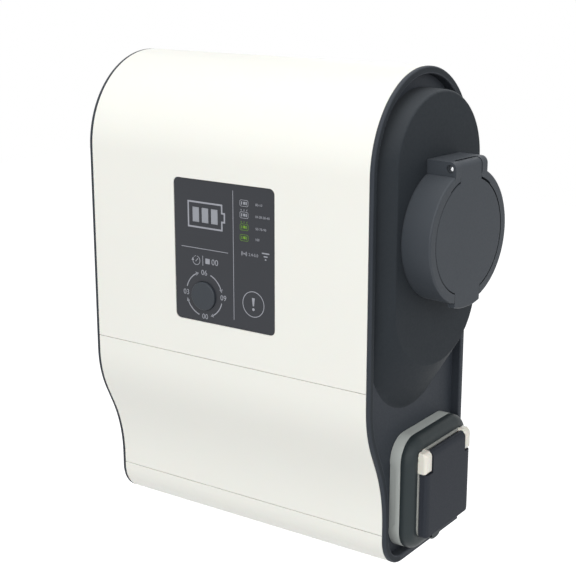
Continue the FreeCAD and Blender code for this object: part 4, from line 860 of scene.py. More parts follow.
@dataclass(frozen=True)
class Softening:
    """A flat that rolls away towards the sides of its region, as a hand finished mould has it.

    Attributes:
        low: Lowest corner of the region, in mm.
        high: Highest corner of the region, in mm.
        rolls: Which sides roll, for each axis.
        reach: How far from a side the roll starts, in mm.
        shift: How far the surface has moved at the side, in mm, by axis.
        cuts: Distance between the cuts that let it bend, in mm.
    """

    low: Triple
    high: Triple
    rolls: tuple[Roll, Roll, Roll]
    reach: float
    shift: Triple
    cuts: float = 0.75

    def sides(self) -> list[tuple[int, int, float]]:
        """Return the axis, sign and place of each side that rolls."""
        picks = [(axis, sign) for axis, roll in enumerate(self.rolls) for sign in roll.value]
        return [(axis, sign, (self.low if sign < 0 else self.high)[axis]) for axis, sign in picks]

    def holds(self, place: Vector) -> bool:
        """Return whether a point in mm lies in the region."""
        return all(low <= value <= high for low, value, high in zip(self.low, place, self.high))

    def roll(self, place: Vector) -> float:
        """Return how far a point in mm has rolled, from 0 inside to 1 at a side."""
        most = max(1 - sign * (side - place[axis]) / self.reach for axis, sign, side in self.sides())
        return max(0.0, min(1.0, most)) ** 2

    def apply(self, form: Form) -> None:
        """Cut the region so that it can bend, and roll it.

        Args:
            form: The form to change.
        """
        for axis, sign, side in self.sides():
            normal = Vector([float(other == axis) for other in range(3)])
            for step in range(1, int(self.reach / self.cuts) + 1):
                offset = side - sign * step * self.cuts
                near = [face for face in form.faces if any(self.holds(vert.co / MM) for vert in face.verts)]
                edges = {edge for face in near for edge in face.edges}
                verts = {vert for face in near for vert in face.verts}
                bmesh.ops.bisect_plane(
                    form, geom=[*near, *edges, *verts], dist=1e-6, plane_co=normal * offset * MM, plane_no=normal
                )
        shift = Vector(self.shift) * MM
        for vert in form.verts:
            place = vert.co / MM
            if self.holds(place):
                vert.co += shift * self.roll(place)


# Fixings


class Drive(Enum):
    """The way that a screw is driven in, from its head to its tip."""

    TO_THE_WALL = (0.0, 1.0, 0.0)
    UPWARDS = (0.0, 0.0, 1.0)
    INTO_THE_CHEEK = (-1.0, 0.0, 0.0)
    INTO_THE_POD = (-math.cos(math.radians(5.26)), math.sin(math.radians(5.26)), 0.0)


@dataclass(frozen=True)
class PanHeadScrew:
    """A thread forming screw with a domed head and a six lobed recess.

    Attributes:
        head_radius: Radius of the head.
        head_height: Height of the head.
        head_wall: Height of its upright side, as a share of the head.
        dome: Radii of the rings over the dome, as shares of the head's.
        dome_power: How late the dome falls away; a higher power is flatter.
        seat_break: Width and height of the broken edge under the head.
        crest_radius: Radius over the thread.
        core_radius: Radius of the core.
        pitch: Distance between two turns of the thread.
        ridge: Half the thread's width at its foot, as a share of the pitch.
        turn_steps: Rings for each turn of the thread.
        recess_radius: Middle radius of the recess.
        lobe: How far the lobes of the recess leave that radius.
        recess_depth: Depth of the recess.
        recess_break: Width and depth of the broken edge round the recess.
        tip: Length of the plain tip.
        tip_share: Radius of the tip's end, as a share of the core.
        sides: Points round the screw.
        sharp: Edges that turn more than this many degrees stay sharp.
        seed: Seed of the screws' random turns.
    """

    head_radius: float = 3.8
    head_height: float = 2.4
    head_wall: float = 0.2
    dome: tuple[float, ...] = (0.45, 0.62, 0.78, 0.9, 0.97, 1.0)
    dome_power: float = 2.6
    seat_break: Point = (0.12, 0.08)
    crest_radius: float = 2.0
    core_radius: float = 1.45
    pitch: float = 1.5
    ridge: float = 0.3
    turn_steps: int = 6
    recess_radius: float = 1.2
    lobe: float = 0.22
    recess_depth: float = 1.44
    recess_break: Point = (0.08, 0.12)
    tip: float = 1.2
    tip_share: float = 0.55
    sides: int = 36
    sharp: float = 38.0
    seed: int = 5

    def sections(self, length: float) -> list[list[Point]]:
        """Return radius and height round each ring, from the recess's floor to the tip.

        Args:
            length: Length under the head.

        Returns:
            One list for each ring; heights grow towards the tip.
        """
        angles = [math.tau * side / self.sides for side in range(self.sides)]
        top, wall_share = -self.head_height, self.head_wall
        lobed = [self.recess_radius + self.lobe * math.cos(6 * angle) for angle in angles]
        rings = [
            [(radius, top + self.recess_depth) for radius in lobed],
            [(radius + self.recess_break[0], top + self.recess_break[1]) for radius in lobed],
        ]
        even = []
        for share in self.dome:
            fall = math.sqrt(max(0.0, 1 - share**self.dome_power))
            even.append((self.head_radius * share, top * (wall_share + (1 - wall_share) * fall)))
        even.append((self.head_radius, -self.seat_break[1]))
        even += [(self.head_radius - self.seat_break[0], 0.0), (self.core_radius, 0.0)]
        rings += [[place] * self.sides for place in even]
        steps = round((length - self.tip) / self.pitch * self.turn_steps)
        for step in range(1, steps + 1):
            height = (length - self.tip) * step / steps
            rings.append([(self.threaded(angle, height, length), height) for angle in angles])
        return [*rings, [(self.core_radius * self.tip_share, length)] * self.sides]

    def threaded(self, angle: float, height: float, length: float) -> float:
        """Return the shank's radius on the thread.

        Args:
            angle: Angle round the screw, in radians.
            height: Distance under the head.
            length: Length under the head.

        Returns:
            The radius, which runs out at both ends of the thread.
        """
        phase = (height / self.pitch - angle / math.tau) % 1.0
        ridge = max(0.0, 1 - abs(phase - 0.5) / self.ridge)
        runout = min(1.0, height / self.pitch, (length - self.tip - height) / self.pitch)
        return self.core_radius + (self.crest_radius - self.core_radius) * ridge * max(0.0, runout)

    def pattern(self, length: float) -> Piece:
        """Build one screw, with its head's seat on the origin and its tip up Z.

        Args:
            length: Length under the head.

        Returns:
            The screw, as a closed mesh.
        """
        form = bmesh.new()
        loops = []
        for section in self.sections(length):
            turns = [(radius, height, math.tau * side / self.sides) for side, (radius, height) in enumerate(section)]
            loops.append([
                form.verts.new((radius * math.cos(turn) * MM, radius * math.sin(turn) * MM, height * MM))
                for radius, height, turn in turns
            ])
        form.faces.new(loops[0])
        form.faces.new(loops[-1])
        for near, far in zip(loops, loops[1:]):
            wall(form, near, far)
        return link_object("screw_pattern", mesh_of(form, "screw_pattern"))

    def drive(self, node: str, way: Drive) -> Piece:
        """Replace a CAD node's screws, each in its own place.

        Args:
            node: The CAD node that holds the screws.
            way: The way that they are driven.

        Returns:
            One object with all the node's screws.
        """
        along = Vector(way.value).normalized()
        across = along.orthogonal().normalized()
        third = along.cross(across)
        seats: dict[float, list[Vector]] = {}
        for points in loose_parts(node):
            spans = [[point.dot(axis) for point in points] for axis in (across, third, along)]
            middle = [(min(span) + max(span)) / 2 for span in spans[:2]]
            start = min(spans[2]) + self.head_height * MM
            length = round((max(spans[2]) - start) / MM, 1)
            seats.setdefault(length, []).append(across * middle[0] + third * middle[1] + along * start)
        form = bmesh.new()
        for length, places in sorted(seats.items()):
            mesh = bpy.data.meshes.new(node)
            mesh.from_pydata([tuple(place) for place in places], [], [])
            for item in mesh.attributes.new("way", "FLOAT_VECTOR", "POINT").data:
                item.vector = along
            screw = self.pattern(length)
            values = {"Screw": screw, "Most turn": math.tau, "Seed": self.seed, "Finish": STEEL_PLATED.build()}
            batch = grow(link_object(f"{node}_batch", mesh), scatter_tree(), values)
            form.from_mesh(batch.data)
            bpy.data.objects.remove(batch)
            bpy.data.objects.remove(screw)
        piece = link_object(f"{node}_driven", mesh_of(form, f"{node}_driven"))
        piece.data.shade_smooth()
        piece.data.set_sharp_from_angle(angle=math.radians(self.sharp))
        return dress(piece, STEEL_PLATED.build())


# Sub-assemblies


@dataclass
class SubAssembly(ABC):
    """A group of pieces that is built and dressed together."""

    screws: PanHeadScrew = PanHeadScrew()
    made: list[Piece] = field(default_factory=list, init=False)

    @abstractmethod
    def build(self) -> None:
        """Make and dress the pieces."""

    def keep(self, piece: Piece, finish: Finish, *nodes: str, body: str = "wallbox") -> Piece:
        """Put a finished piece on its body and note it.

        Args:
            piece: The finished object.
            finish: The piece's finish; not used.
            *nodes: CAD nodes that it stands for.
            body: The body that it rides on.

        Returns:
            The same object.
        """
        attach(piece, body)
        if nodes:
            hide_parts(*nodes)
        self.made.append(piece)
        return piece

    def skin(
        self, node: str, finish: Finish, edge: EdgeBreak, *soft: Softening, body: str = "wallbox"
    ) -> Piece:
        """Replace a CAD node with a closed skin of the same shape, with its edges broken.

        Args:
            node: The CAD node.
            finish: Its finish.
            edge: How its edges are broken.
            *soft: Flats that roll away.
            body: The body that it rides on.

        Returns:
            The new piece.
        """
        form = merged(node)
        flat = math.radians(edge.flat_angle)
        bmesh.ops.dissolve_limit(form, angle_limit=flat, verts=form.verts, edges=form.edges)
        for softening in soft:
            softening.apply(form)
        mesh = bpy.data.meshes.new(f"{node}_skin")
        form.to_mesh(mesh)
        form.free()
        for stale in ("custom_normal", "sharp_edge"):
            if stale in mesh.attributes:
                mesh.attributes.remove(mesh.attributes[stale])
        piece = dress(edge.soften(link_object(f"{node}_skin", mesh)), finish.build())
        return self.keep(piece, finish, node, body=body)

    def second_finish(self, piece: Piece, finish: Finish, picks: Callable[[float, float, float], bool]) -> None:
        """Give some of a piece's faces another finish.

        Args:
            piece: The piece.
            finish: The other finish.
            picks: The test of a face's middle in mm, true where the face takes it.
        """
        piece.data.materials.append(finish.build())
        for face in piece.data.polygons:
            if picks(*(face.center / MM)):
                face.material_index = 1

    def paint(self, finish: Finish, *nodes: str) -> None:
        """Give CAD nodes that stay as they are their finish."""
        self.made += [dress(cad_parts[node], finish.build()) for node in nodes]

    def drive(self, node: str, way: Drive) -> None:
        """Replace a CAD node's screws by threaded ones."""
        self.keep(self.screws.drive(node, way), STEEL_PLATED, node)


@dataclass
class Covers(SubAssembly):
    """The three white covers over the front, top and foot."""

    edge: EdgeBreak = EdgeBreak(0.35, segments=3)

    def build(self) -> None:
        """Make the skins of the covers."""
        for node in ("upper_cover", "lower_cover", "bottom_cover"):
            self.skin(node, COVER_WHITE, self.edge)


@dataclass
class Cheeks(SubAssembly):
    """The dark cheeks at both ends.

    Attributes:
        edge: How their edges are broken.
        pod_axis: Y and Z of the pod's middle, round which its top is round.
        pod_radius: Radius of the pod at its foot.
        pod_foot: Z down to which the pod's texture goes.
        pod_floor: X of the dished floor, above which the pod stands.
    """

    edge: EdgeBreak = EdgeBreak(0.4)
    pod_axis: Point = (-73.15, 118.1)
    pod_radius: float = 64.0
    pod_foot: float = -70.0
    pod_floor: float = 125.58

    def build(self) -> None:
        """Make the skins of the cheeks, with the pod's coarser texture on the right one."""
        self.skin("left_cheek", CHEEK_DARK, self.edge)
        self.second_finish(self.skin("right_cheek", CHEEK_DARK, self.edge), POD_DARK, self.on_pod)

    def on_pod(self, x: float, y: float, z: float) -> bool:
        """Return whether a place in mm lies on the pod, which is round above its axis and straight below."""
        off_axis = math.hypot(y - self.pod_axis[0], max(0.0, z - self.pod_axis[1]))
        return x > self.pod_floor and z > self.pod_foot and off_axis < self.pod_radius


# The control panel and its print


@dataclass
class InkLayer:
    """Thin raised shapes of one ink on the panel's flat face.

    Attributes:
        face: Y of the panel's face, in mm.
        rise: Thickness of the ink.
        sink: How far the ink reaches into the face, so that it never floats.
    """

    face: float
    rise: float = 0.06
    sink: float = 0.02
    form: Form = field(default_factory=bmesh.new, init=False)

    def corners(self, places: Sequence[Point], front: bool) -> Loop:
        """Add points on the ink's front or back."""
        y = self.face - self.rise if front else self.face + self.sink
        return [self.form.verts.new((x * MM, y * MM, z * MM)) for x, z in places]

    def plate(self, outline: Sequence[Point]) -> None:
        """Add a filled shape.

        Args:
            outline: Its corners in X and Z, in order.
        """
        front, back = self.corners(outline, True), self.corners(outline, False)
        self.form.faces.new(front)
        self.form.faces.new(back)
        wall(self.form, front, back)

    def bar(self, centre: Point, width: float, height: float) -> None:
        """Add a filled upright rectangle."""
        x, z, across, up = *centre, width / 2, height / 2
        self.plate([(x - across, z - up), (x + across, z - up), (x + across, z + up), (x - across, z + up)])

    def band(self, line: Sequence[Point], width: float, closed: bool = False) -> None:
        """Add a line of even width with mitred corners.

        Args:
            line: Points of its middle line.
            width: Its width.
            closed: Whether its end joins its start.
        """
        rings = []
        for index, (x, z) in enumerate(line):
            before = line[index - 1] if closed or index else (x, z)
            after = line[(index + 1) % len(line)] if closed or index < len(line) - 1 else (x, z)
            into = Vector((x - before[0], z - before[1]))
            out = Vector((after[0] - x, after[1] - z))
            into = into.normalized() if into.length else out.normalized()
            out = out.normalized() if out.length else into
            way = (into + out).normalized()
            side = Vector((-way.y, way.x)) * (width / 2 / max(0.5, way.dot(into)))
            pair = [(x + side.x, z + side.y), (x - side.x, z - side.y)]
            rings.append(self.corners(pair, True) + self.corners(pair[::-1], False))
        for near, far in zip(rings, rings[1:]):
            wall(self.form, near, far)
        if closed:
            wall(self.form, rings[-1], rings[0])
        else:
            self.form.faces.new(rings[0])
            self.form.faces.new(rings[-1])

    def figures(self, text: str, place: Point, height: float, from_left: bool = False) -> None:
        """Add plain figures.

        Args:
            text: Figures to set.
            place: The middle of the line, or of its left end.
            height: Height of a figure.
            from_left: Whether the place is the left end.
        """
        data = bpy.data.curves.new("figures", "FONT")
        data.body = text
        data.resolution_u = 3
        data.extrude = 0.1
        holder = link_object("figures", data)
        mesh = evaluated(holder)
        bpy.data.objects.remove(holder)
        spans = [[vert.co[axis] for vert in mesh.vertices] for axis in range(3)]
        low, high = [min(span) for span in spans], [max(span) for span in spans]
        scale = height / (high[1] - low[1])
        depth = (self.rise + self.sink) / (high[2] - low[2])
        anchor = low[0] if from_left else (low[0] + high[0]) / 2
        for vert in mesh.vertices:
            x = place[0] + (vert.co.x - anchor) * scale
            z = place[1] + (vert.co.y - (low[1] + high[1]) / 2) * scale
            y = self.face + self.sink - (vert.co.z - low[2]) * depth
            vert.co = (x * MM, y * MM, z * MM)
        self.form.from_mesh(mesh)

    def finish(self, name: str, material: Material) -> Piece:
        """Return the ink as one dressed object."""
        bmesh.ops.remove_doubles(self.form, verts=self.form.verts, dist=1e-7)
        return dress(link_object(name, mesh_of(self.form, name)), material)


@dataclass
class ControlPanel(SubAssembly):
    """The dark control panel with its light guide, push button and print.

    Places are X and Z. The fields come in the order of the print: thin rules, the battery, the clock,
    the dial round the button, the four states with their lights, the radio's sign and the fault's.
    """

    edge: EdgeBreak = EdgeBreak(0.25)
    guide_edge: EdgeBreak = EdgeBreak(0.1, segments=1)
    guide_front: float = 2.0
    line: float = 0.5
    divider_x: float = 10.45
    rules: tuple[tuple[Point, Point], ...] = (
        ((10.45, -2.5), (10.45, 98.1)), ((-40.1, 49.3), (5.3, 49.3)), ((-19.3, 36.0), (-19.3, 43.9)),
    )
    battery_line: float = 1.3
    battery: tuple[Point, ...] = (
        (-32.65, 66.05), (-32.65, 85.55), (-0.25, 85.55), (-0.25, 79.25),
        (2.25, 79.25), (2.25, 72.45), (-0.25, 72.45), (-0.25, 66.05),
    )
    clock: Point = (-25.6, 39.5)
    clock_radius: float = 3.5
    clock_arc: Point = (80.0, -180.0)
    clock_hand: tuple[Point, Point] = ((-26.5, 38.6), (-24.1, 41.0))
    clock_tip: tuple[Point, ...] = ((-30.4, 39.3), (-27.8, 39.3), (-29.1, 41.4))
    clock_dots: tuple[float, ...] = (150.0, 125.0, 103.0)
    clock_dot: float = 0.35
    stop: Point = (-14.6, 40.0)
    dial: Point = (-18.3, 12.9)
    dial_radius: float = 17.5
    dial_line: float = 0.8
    dial_arcs: tuple[Point, ...] = ((164.7, 111.0), (68.8, 17.0), (-15.0, -66.0), (-107.5, -160.4))
    arrow_lead: float = 4.0
    arrow_turn: float = 92.0
    arrow_length: float = 3.0
    arrow_notch: float = 2.1
    arrow_side: float = 1.6
    figure_height: float = 4.2
    figures: tuple[tuple[str, Point, float], ...] = (
        ("06", (-18.1, 30.6), 4.2), ("09", (0.3, 13.1), 4.2), ("00", (-17.9, -4.5), 4.2),
        ("03", (-36.2, 12.9), 4.2), ("00", (-7.6, 40.0), 4.7), ("2.4-5.0", (29.2, 51.0), 2.3),
    )
    state_x: float = 20.8
    state_size: Point = (7.6, 4.7)
    state_corner: float = 0.8
    state_line: float = 0.35
    state_bar: Point = (0.9, 2.4)
    state_bar_x: float = 2.15
    ray_x: float = 2.4
    ray_lean: float = 0.5
    ray_rise: Point = (0.9, 2.1)
    states: tuple[tuple[float, str, bool], ...] = (
        (89.6, "00-10", False), (80.6, "10-20-30-40", True), (71.4, "50-70-90", True), (63.2, "100", False),
    )
    first_green: int = 2
    label_left: float = 31.4
    label_height: float = 1.9
    signal_x: float = 40.5
    signal_bars: tuple[Point, ...] = ((53.6, 6.8), (51.2, 3.6), (48.9, 1.3))
    signal_bar: float = 0.95
    hub: Point = (20.6, 51.0)
    hub_radius: float = 0.6
    waves: tuple[float, ...] = (1.5, 2.5)
    wave_half: float = 42.0
    wave_line: float = 0.45
    fault: Point = (28.9, 12.6)
    fault_radius: float = 9.9
    fault_line: float = 0.6
    fault_stroke: tuple[Point, ...] = ((-0.6, -1.4), (0.6, -1.4), (1.3, 5.0), (-1.3, 5.0))
    fault_dot: Point = (-4.0, 1.15)
    spring_radius: float = 5.0
    spring_wire: float = 0.4
    spring_turns: float = 4.0
    press: float = 1.5

    def build(self) -> None:
        """Make the panel's skins, its print and the button's spring."""
        self.skin("display_panel", PANEL_DARK, self.edge)
        self.skin("push_button", BUTTON_DARK, self.edge, body="button")
        self.make_guide()
        self.make_print()
        self.make_spring()
        self.paint(BOARD_GREEN, "display_board")

    def make_guide(self) -> None:
        """Make the light guide, whose two lower lights are green in front."""
        guide = self.skin("light_guide", GUIDE_PALE, self.guide_edge)
        split = (self.states[self.first_green - 1][0] + self.states[self.first_green][0]) / 2
        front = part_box("display_panel")[0].y / MM + self.guide_front
        self.second_finish(guide, GUIDE_GREEN, lambda x, y, z: x > self.divider_x and z < split and y < front)

    def make_print(self) -> None:
        """Print the panel's lines, signs and plain figures."""
        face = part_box("display_panel")[0].y / MM
        pale, green = InkLayer(face), InkLayer(face)
        for rule in self.rules:
            pale.band(rule, self.line)
        pale.band(self.battery, self.battery_line, closed=True)
        for text, place, height in self.figures:
            pale.figures(text, place, height)
        self.print_clock(pale)
        self.print_dial(pale)
        for index, (z, label, rays) in enumerate(self.states):
            self.print_state(pale if index < self.first_green else green, z, rays)
            pale.figures(label, (self.label_left, z), self.label_height, from_left=True)
        self.print_signal(pale)
        self.print_fault(pale)
        for ink, name, finish in ((pale, "panel_print_pale", INK_PALE), (green, "panel_print_green", INK_GREEN)):
            self.keep(ink.finish(name, finish.build()), finish)

    def print_clock(self, ink: InkLayer) -> None:
        """Print the timer's clock, dotted where it has run out, and the stop sign.

        Args:
            ink: The ink layer.
        """
        ink.band(arc(self.clock, self.clock_radius, *self.clock_arc, 26), self.line)
        ink.plate(self.clock_tip)
        ink.band(self.clock_hand, self.line)
        for angle in self.clock_dots:
            ink.plate(ring(polar(self.clock, self.clock_radius, angle), self.clock_dot, 12))
        ink.bar(self.stop, self.figure_height, self.figure_height)

    def print_dial(self, ink: InkLayer) -> None:
        """Print the four arrows round the button.

        Args:
            ink: The ink layer.
        """
        for start, end in self.dial_arcs:
            ink.band(arc(self.dial, self.dial_radius, start, end, 18), self.dial_line)
            tip = Vector(polar(self.dial, self.dial_radius, end - self.arrow_lead))
            ahead = Vector(polar((0.0, 0.0), 1.0, end - self.arrow_turn))
            side = Vector((-ahead.y, ahead.x)) * self.arrow_side
            back = tip - ahead * self.arrow_length
            ink.plate([tuple(corner) for corner in (tip, back + side, tip - ahead * self.arrow_notch, back - side)])

    def print_state(self, ink: InkLayer, z: float, rays: bool) -> None:
        """Print one status sign round its light.

        Args:
            ink: The ink layer.
            z: Height of the light.
            rays: Whether rays stand over the sign.
        """
        left, right = self.state_x - self.state_size[0] / 2, self.state_x + self.state_size[0] / 2
        low, high = z - self.state_size[1] / 2, z + self.state_size[1] / 2
        cut = self.state_corner
        outline = [
            (left + cut, low), (left, low + cut), (left, high - cut), (left + cut, high),
            (right - cut, high), (right, high - cut), (right, low + cut), (right - cut, low),
        ]
        ink.band(outline, self.state_line, closed=True)
        for side in (-1, 1):
            ink.bar((self.state_x + side * self.state_bar_x, z), *self.state_bar)
        for side in (-1, 0, 1) if rays else ():
            foot = self.state_x + side * self.ray_x
            ends = [(foot + side * lean, high + rise) for lean, rise in zip((0.0, self.ray_lean), self.ray_rise)]
            ink.band(ends, self.line)

    def print_signal(self, ink: InkLayer) -> None:
        """Print the radio's sign: bars that narrow downwards, and waves round a dot.

        Args:
            ink: The ink layer.
        """
        for z, width in self.signal_bars:
            ink.bar((self.signal_x, z), width, self.signal_bar)
        ink.plate(ring(self.hub, self.hub_radius, 16))
        for radius in self.waves:
            for middle in (0.0, 180.0):
                wave = arc(self.hub, radius, middle - self.wave_half, middle + self.wave_half, 8)
                ink.band(wave, self.wave_line)

    def print_fault(self, ink: InkLayer) -> None:
        """Print the fault light's sign: a ring round a mark.

        Args:
            ink: The ink layer.
        """
        x, z = self.fault
        ink.band(ring(self.fault, self.fault_radius, 64), self.fault_line, closed=True)
        ink.plate([(x + across, z + up) for across, up in self.fault_stroke])
        ink.plate(ring((x, z + self.fault_dot[0]), self.fault_dot[1], 20))

    def make_spring(self) -> None:
        """Wind the button's return spring."""
        low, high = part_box("button_spring")
        middle = (low + high) / 2
        wire = self.spring_wire * MM
        holder = link_object("button_spring_wound", bpy.data.meshes.new("button_spring_wound"))
        values = {
            "Radius": self.spring_radius * MM,
            "Wire": wire,
            "Turns": self.spring_turns,
            "Height": high.y - low.y - 2 * wire,
            "Turn": (-math.pi / 2, 0.0, 0.0),
            "Place": (middle.x, low.y + wire, middle.z),
            "Finish": STEEL_PLATED.build(),
        }
        spring = grow(holder, coil_tree(), values)
        spring.data.shade_smooth()
        self.keep(spring, STEEL_PLATED, "button_spring")
        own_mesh(spring)


@dataclass
class VehicleSocket(SubAssembly):
    """The vehicle socket on the pod, with its hinged lid.

    Attributes:
        edge: How the edges of its mouldings are broken.
        nose_roll: The lower edge of the lid's nose, which rises to both sides.
        pin_dome: The end of the hinge pin, which is domed.
    """

    edge: EdgeBreak = EdgeBreak()
    nose_roll: Softening = Softening(
        (150.0, -90.4, 16.7), (180.0, -55.2, 23.0), (Roll.NONE, Roll.BOTH, Roll.NONE),
        reach=16.0, shift=(0.0, 0.0, 2.8),
    )
    pin_dome: Softening = Softening(
        (162.8, -93.4, 119.95), (166.9, -92.6, 124.05), (Roll.BOTH, Roll.NONE, Roll.BOTH),
        reach=2.05, shift=(0.0, 0.7, 0.0), cuts=0.4,
    )

    def build(self) -> None:
        """Make the socket's skins and screws."""
        self.skin("socket_housing", SOCKET_DARK, self.edge)
        self.skin("socket_well", SOCKET_DARK, EdgeBreak(0.25))
        self.skin("socket_lid", LID_DARK, self.edge, self.nose_roll, body="lid")
        self.skin("socket_insert", INSULATOR_BLACK, EdgeBreak(0.2))
        self.paint(BRASS_SILVERED, "socket_contacts")
        self.paint(SEAL_BLACK, "lid_seal")
        self.skin("lid_hinge_pin", STEEL_GROUND, EdgeBreak(0.15), self.pin_dome)
        self.paint(STEEL_GROUND, "lid_spring")
        self.paint(INSULATOR_BLACK, "lock_actuator")
        self.paint(STEEL_GROUND, "lock_pin")
        self.drive("socket_screws", Drive.INTO_THE_POD)


@dataclass
class DomesticOutlet(SubAssembly):
    """The domestic outlet low on the right cheek.

    Attributes:
        edge: How the edges of its mouldings are broken.
        flap_roll: The flap's outer face, which falls away to its sides and top.
        knuckle_rolls: The outer faces of the frame's two knuckles.
        nib_roll: The nib under the surround, which rises to both sides.
        knuckle_foot: Z under the knuckles; below it the frame is its thin rim.
        knuckle_gap: Y between which the frame has no knuckle.
    """

    edge: EdgeBreak = EdgeBreak(0.35)
    flap_roll: Softening = Softening(
        (151.0, -92.0, -169.7), (153.0, -21.0, -98.9), (Roll.NONE, Roll.BOTH, Roll.HIGH),
        reach=6.0, shift=(-1.3, 0.0, 0.0),
    )
    knuckle_rolls: tuple[Softening, ...] = tuple(
        Softening(
            (149.5, front, -115.6), (153.5, rear, -97.9), (Roll.NONE, Roll.BOTH, Roll.BOTH),
            reach=5.0, shift=(-2.3, 0.0, 0.0), cuts=0.6,
        )
        for front, rear in ((-93.0, -82.8), (-30.2, -20.0))
    )
    nib_roll: Softening = Softening(
        (135.6, -63.2, -184.2), (143.4, -49.8, -181.5), (Roll.NONE, Roll.BOTH, Roll.NONE),
        reach=5.0, shift=(0.0, 0.0, 2.0), cuts=0.8,
    )
    knuckle_foot: float = -115.0
    knuckle_gap: Point = (-82.8, -30.2)

    def build(self) -> None:
        """Make the outlet's skins and screws."""
        self.skin("outlet_plate", PLATE_GREY, self.edge)
        self.skin("outlet_surround", SURROUND_DARK, self.edge, self.nib_roll)
        inner = self.skin("outlet_frame", FRAME_CREAM, self.edge, *self.knuckle_rolls)
        # The frame's rim outside the knuckles takes the darker grey copy of the cream: painted shade of the flap
        # over it.
        self.second_finish(inner, FRAME_RIM_PAINTED_SHADE, self.on_rim)
        self.skin("outlet_flap", FLAP_DARK, self.edge, self.flap_roll, body="flap")
        self.skin("outlet_insert", INSULATOR_WHITE, EdgeBreak(0.25))
        self.paint(BRASS_SILVERED, "outlet_contacts", "outlet_earth_pin")
        self.paint(SEAL_BLACK, "flap_gasket")
        self.paint(STEEL_GROUND, "flap_pin", "flap_spring")
        self.drive("outlet_screws", Drive.INTO_THE_CHEEK)

    def on_rim(self, _: float, y: float, z: float) -> bool:
        """Return whether a place in mm lies on the frame's rim, outside its knuckles."""
        return z < self.knuckle_foot or self.knuckle_gap[0] < y < self.knuckle_gap[1]


@dataclass
class Interior(SubAssembly):
    """The back plate and what it carries behind the covers."""

    def build(self) -> None:
        """Paint the inner nodes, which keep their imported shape, and drive the screws."""
        self.paint(CARRIER_BLACK, "back_plate")
        self.paint(SEAL_BLACK, "cable_grommet")
        self.paint(BOARD_GREEN, "control_board")
        self.paint(STEEL_ROLLED, "din_rail")
        self.paint(SWITCHGEAR_GREY, "contactor", "residual_breaker", "terminal_block")
        self.drive("cheek_screws", Drive.TO_THE_WALL)
        self.drive("cover_screws", Drive.UPWARDS)


# Studio


@dataclass(frozen=True)
class Lamp:
    """A large soft lamp.

    Attributes:
        name: Its name.
        place: Where it stands, in metres.
        size: Side of its square, in metres.
        power: Watts.
    """

    name: str
    place: Triple
    size: float
    power: float

    def light(self, target: Vector) -> None:
        """Make the lamp and aim it.

        Args:
            target: The point that it faces.
        """
        data = bpy.data.lights.new(self.name, "AREA")
        data.shape = "SQUARE"
        data.size = self.size
        data.energy = self.power
        lamp = link_object(self.name, data)
        lamp.location = self.place
        lamp.rotation_euler = (target - Vector(self.place)).to_track_quat("-Z", "Y").to_euler()


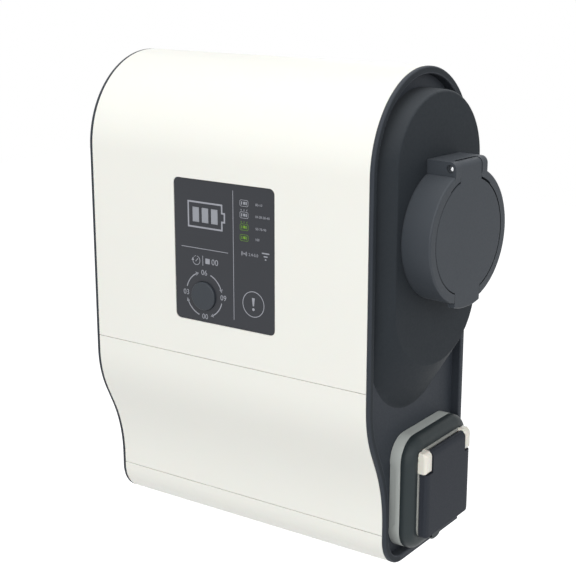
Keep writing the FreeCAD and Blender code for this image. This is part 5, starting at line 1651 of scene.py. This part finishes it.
@dataclass
class Studio:
    """The pale floor, white surroundings, lamps and camera.

    Attributes:
        floor_drop: How far the floor lies under the model's origin, in metres.
        floor_half: Half the floor's side, in metres.
        floor_colour: Its paint, as sRGB hex.
        floor_glow: How much whiter than its own colour the floor is seen.
        world_strength: Strength of the light from all round.
        camera_place: Where the camera stands, in metres.
        camera_turn: Its turn about Z, in degrees.
        camera_tilt: Its tilt from straight down, in degrees.
        camera_lens: Its focal length, in mm.
        camera_sensor: Width of its sensor, in mm.
        camera_range: How far it sees, in metres.
        lamps: The lamps.
    """

    floor_drop: float = 1.2
    floor_half: float = 6.0
    floor_colour: str = "#DEDEDE"
    floor_glow: float = 0.75
    world_strength: float = 0.5
    camera_place: Triple = (0.5968, -0.9152, 0.2817)
    camera_turn: float = 34.86
    camera_tilt: float = 75.0
    camera_lens: float = 82.06
    camera_sensor: float = 36.0
    camera_range: float = 50.0
    lamps: tuple[Lamp, ...] = (
        Lamp("key_lamp", (0.35, -2.4, 1.1), 1.6, 20.0),
        Lamp("fill_lamp", (1.5, -2.2, 0.5), 1.4, 8.0),
        Lamp("side_lamp", (2.4, -1.0, 1.2), 1.6, 16.0),
        Lamp("top_lamp", (-0.1, -0.5, 2.6), 1.8, 23.0),
        Lamp("back_lamp", (-0.8, 2.6, 0.9), 1.8, 7.0),
    )

    def build(self) -> None:
        """Make everything that isn't part of the object."""
        self.make_world()
        self.make_floor()
        for lamp in self.lamps:
            lamp.light((CAD_BOX[0] + CAD_BOX[1]) / 2)
        self.make_camera()
        bpy.context.scene.view_settings.view_transform = "Standard"

    def shown(self, net: Net, lit: Node, seen: Node) -> Node:
        """Let a surface light the object in one way, and be seen in another.

        Args:
            net: The nodes, fed by the light path.
            lit: The shader that lights the object.
            seen: The shader that the camera, a gloss or glass sees.

        Returns:
            The mix of the two.
        """
        seeing: Feed = "Is Camera Ray"
        for ray in ("Is Glossy Ray", "Is Transmission Ray"):
            seeing = net.add("ShaderNodeMath", {"operation": "MAXIMUM"}, links={0: seeing, 1: ray})
        return net.add("ShaderNodeMixShader", links={0: seeing, 1: lit, 2: seen})

    def make_world(self) -> None:
        """Make a world that lights softly and is seen as white."""
        world = bpy.data.worlds.new("studio_world")
        bpy.context.scene.world = world
        world.use_nodes = True
        net = Net(world.node_tree, "ShaderNodeLightPath")
        soft, white = [
            net.add("ShaderNodeBackground", inputs={"Color": WHITE, "Strength": strength})
            for strength in (self.world_strength, 1.0)
        ]
        net.add("ShaderNodeOutputWorld", links={"Surface": self.shown(net, soft, white)})

    def make_floor(self) -> None:
        """Make the pale floor, which takes the object's shadow."""
        half, drop = self.floor_half, -self.floor_drop
        mesh = bpy.data.meshes.new("floor")
        corners = [(-half, -half, drop), (half, -half, drop), (half, half, drop), (-half, half, drop)]
        mesh.from_pydata(corners, [], [(0, 1, 2, 3)])
        material = bpy.data.materials.new("painted_floor_pale")
        material.use_nodes = True
        net = Net(material.node_tree, "ShaderNodeLightPath")
        matt = net.add("ShaderNodeBsdfDiffuse", inputs={"Color": linear(self.floor_colour)})
        glow = net.add("ShaderNodeEmission", inputs={"Color": WHITE, "Strength": self.floor_glow})
        lift = net.add("ShaderNodeAddShader", links={0: matt, 1: glow})
        net.add("ShaderNodeOutputMaterial", links={"Surface": self.shown(net, matt, lift)})
        dress(link_object("floor", mesh), material)

    def make_camera(self) -> None:
        """Set the camera at the photograph's angle."""
        data = bpy.data.cameras.new("camera")
        data.lens = self.camera_lens
        data.sensor_width = self.camera_sensor
        data.clip_end = self.camera_range
        camera = link_object("camera", data)
        camera.location = self.camera_place
        camera.rotation_euler = (math.radians(self.camera_tilt), 0.0, math.radians(self.camera_turn))
        bpy.context.scene.camera = camera


def main() -> None:
    """Build every group in order and report its pieces."""
    logging.basicConfig(level=logging.INFO, format="%(message)s")
    for group in (Covers(), Cheeks(), ControlPanel(), VehicleSocket(), DomesticOutlet(), Interior()):
        group.build()
        for piece in group.made:
            LOG.info("%s: %s, %d faces", type(group).__name__, piece.name, len(piece.data.polygons))
    Studio().build()


if __name__ == "__main__":
    main()
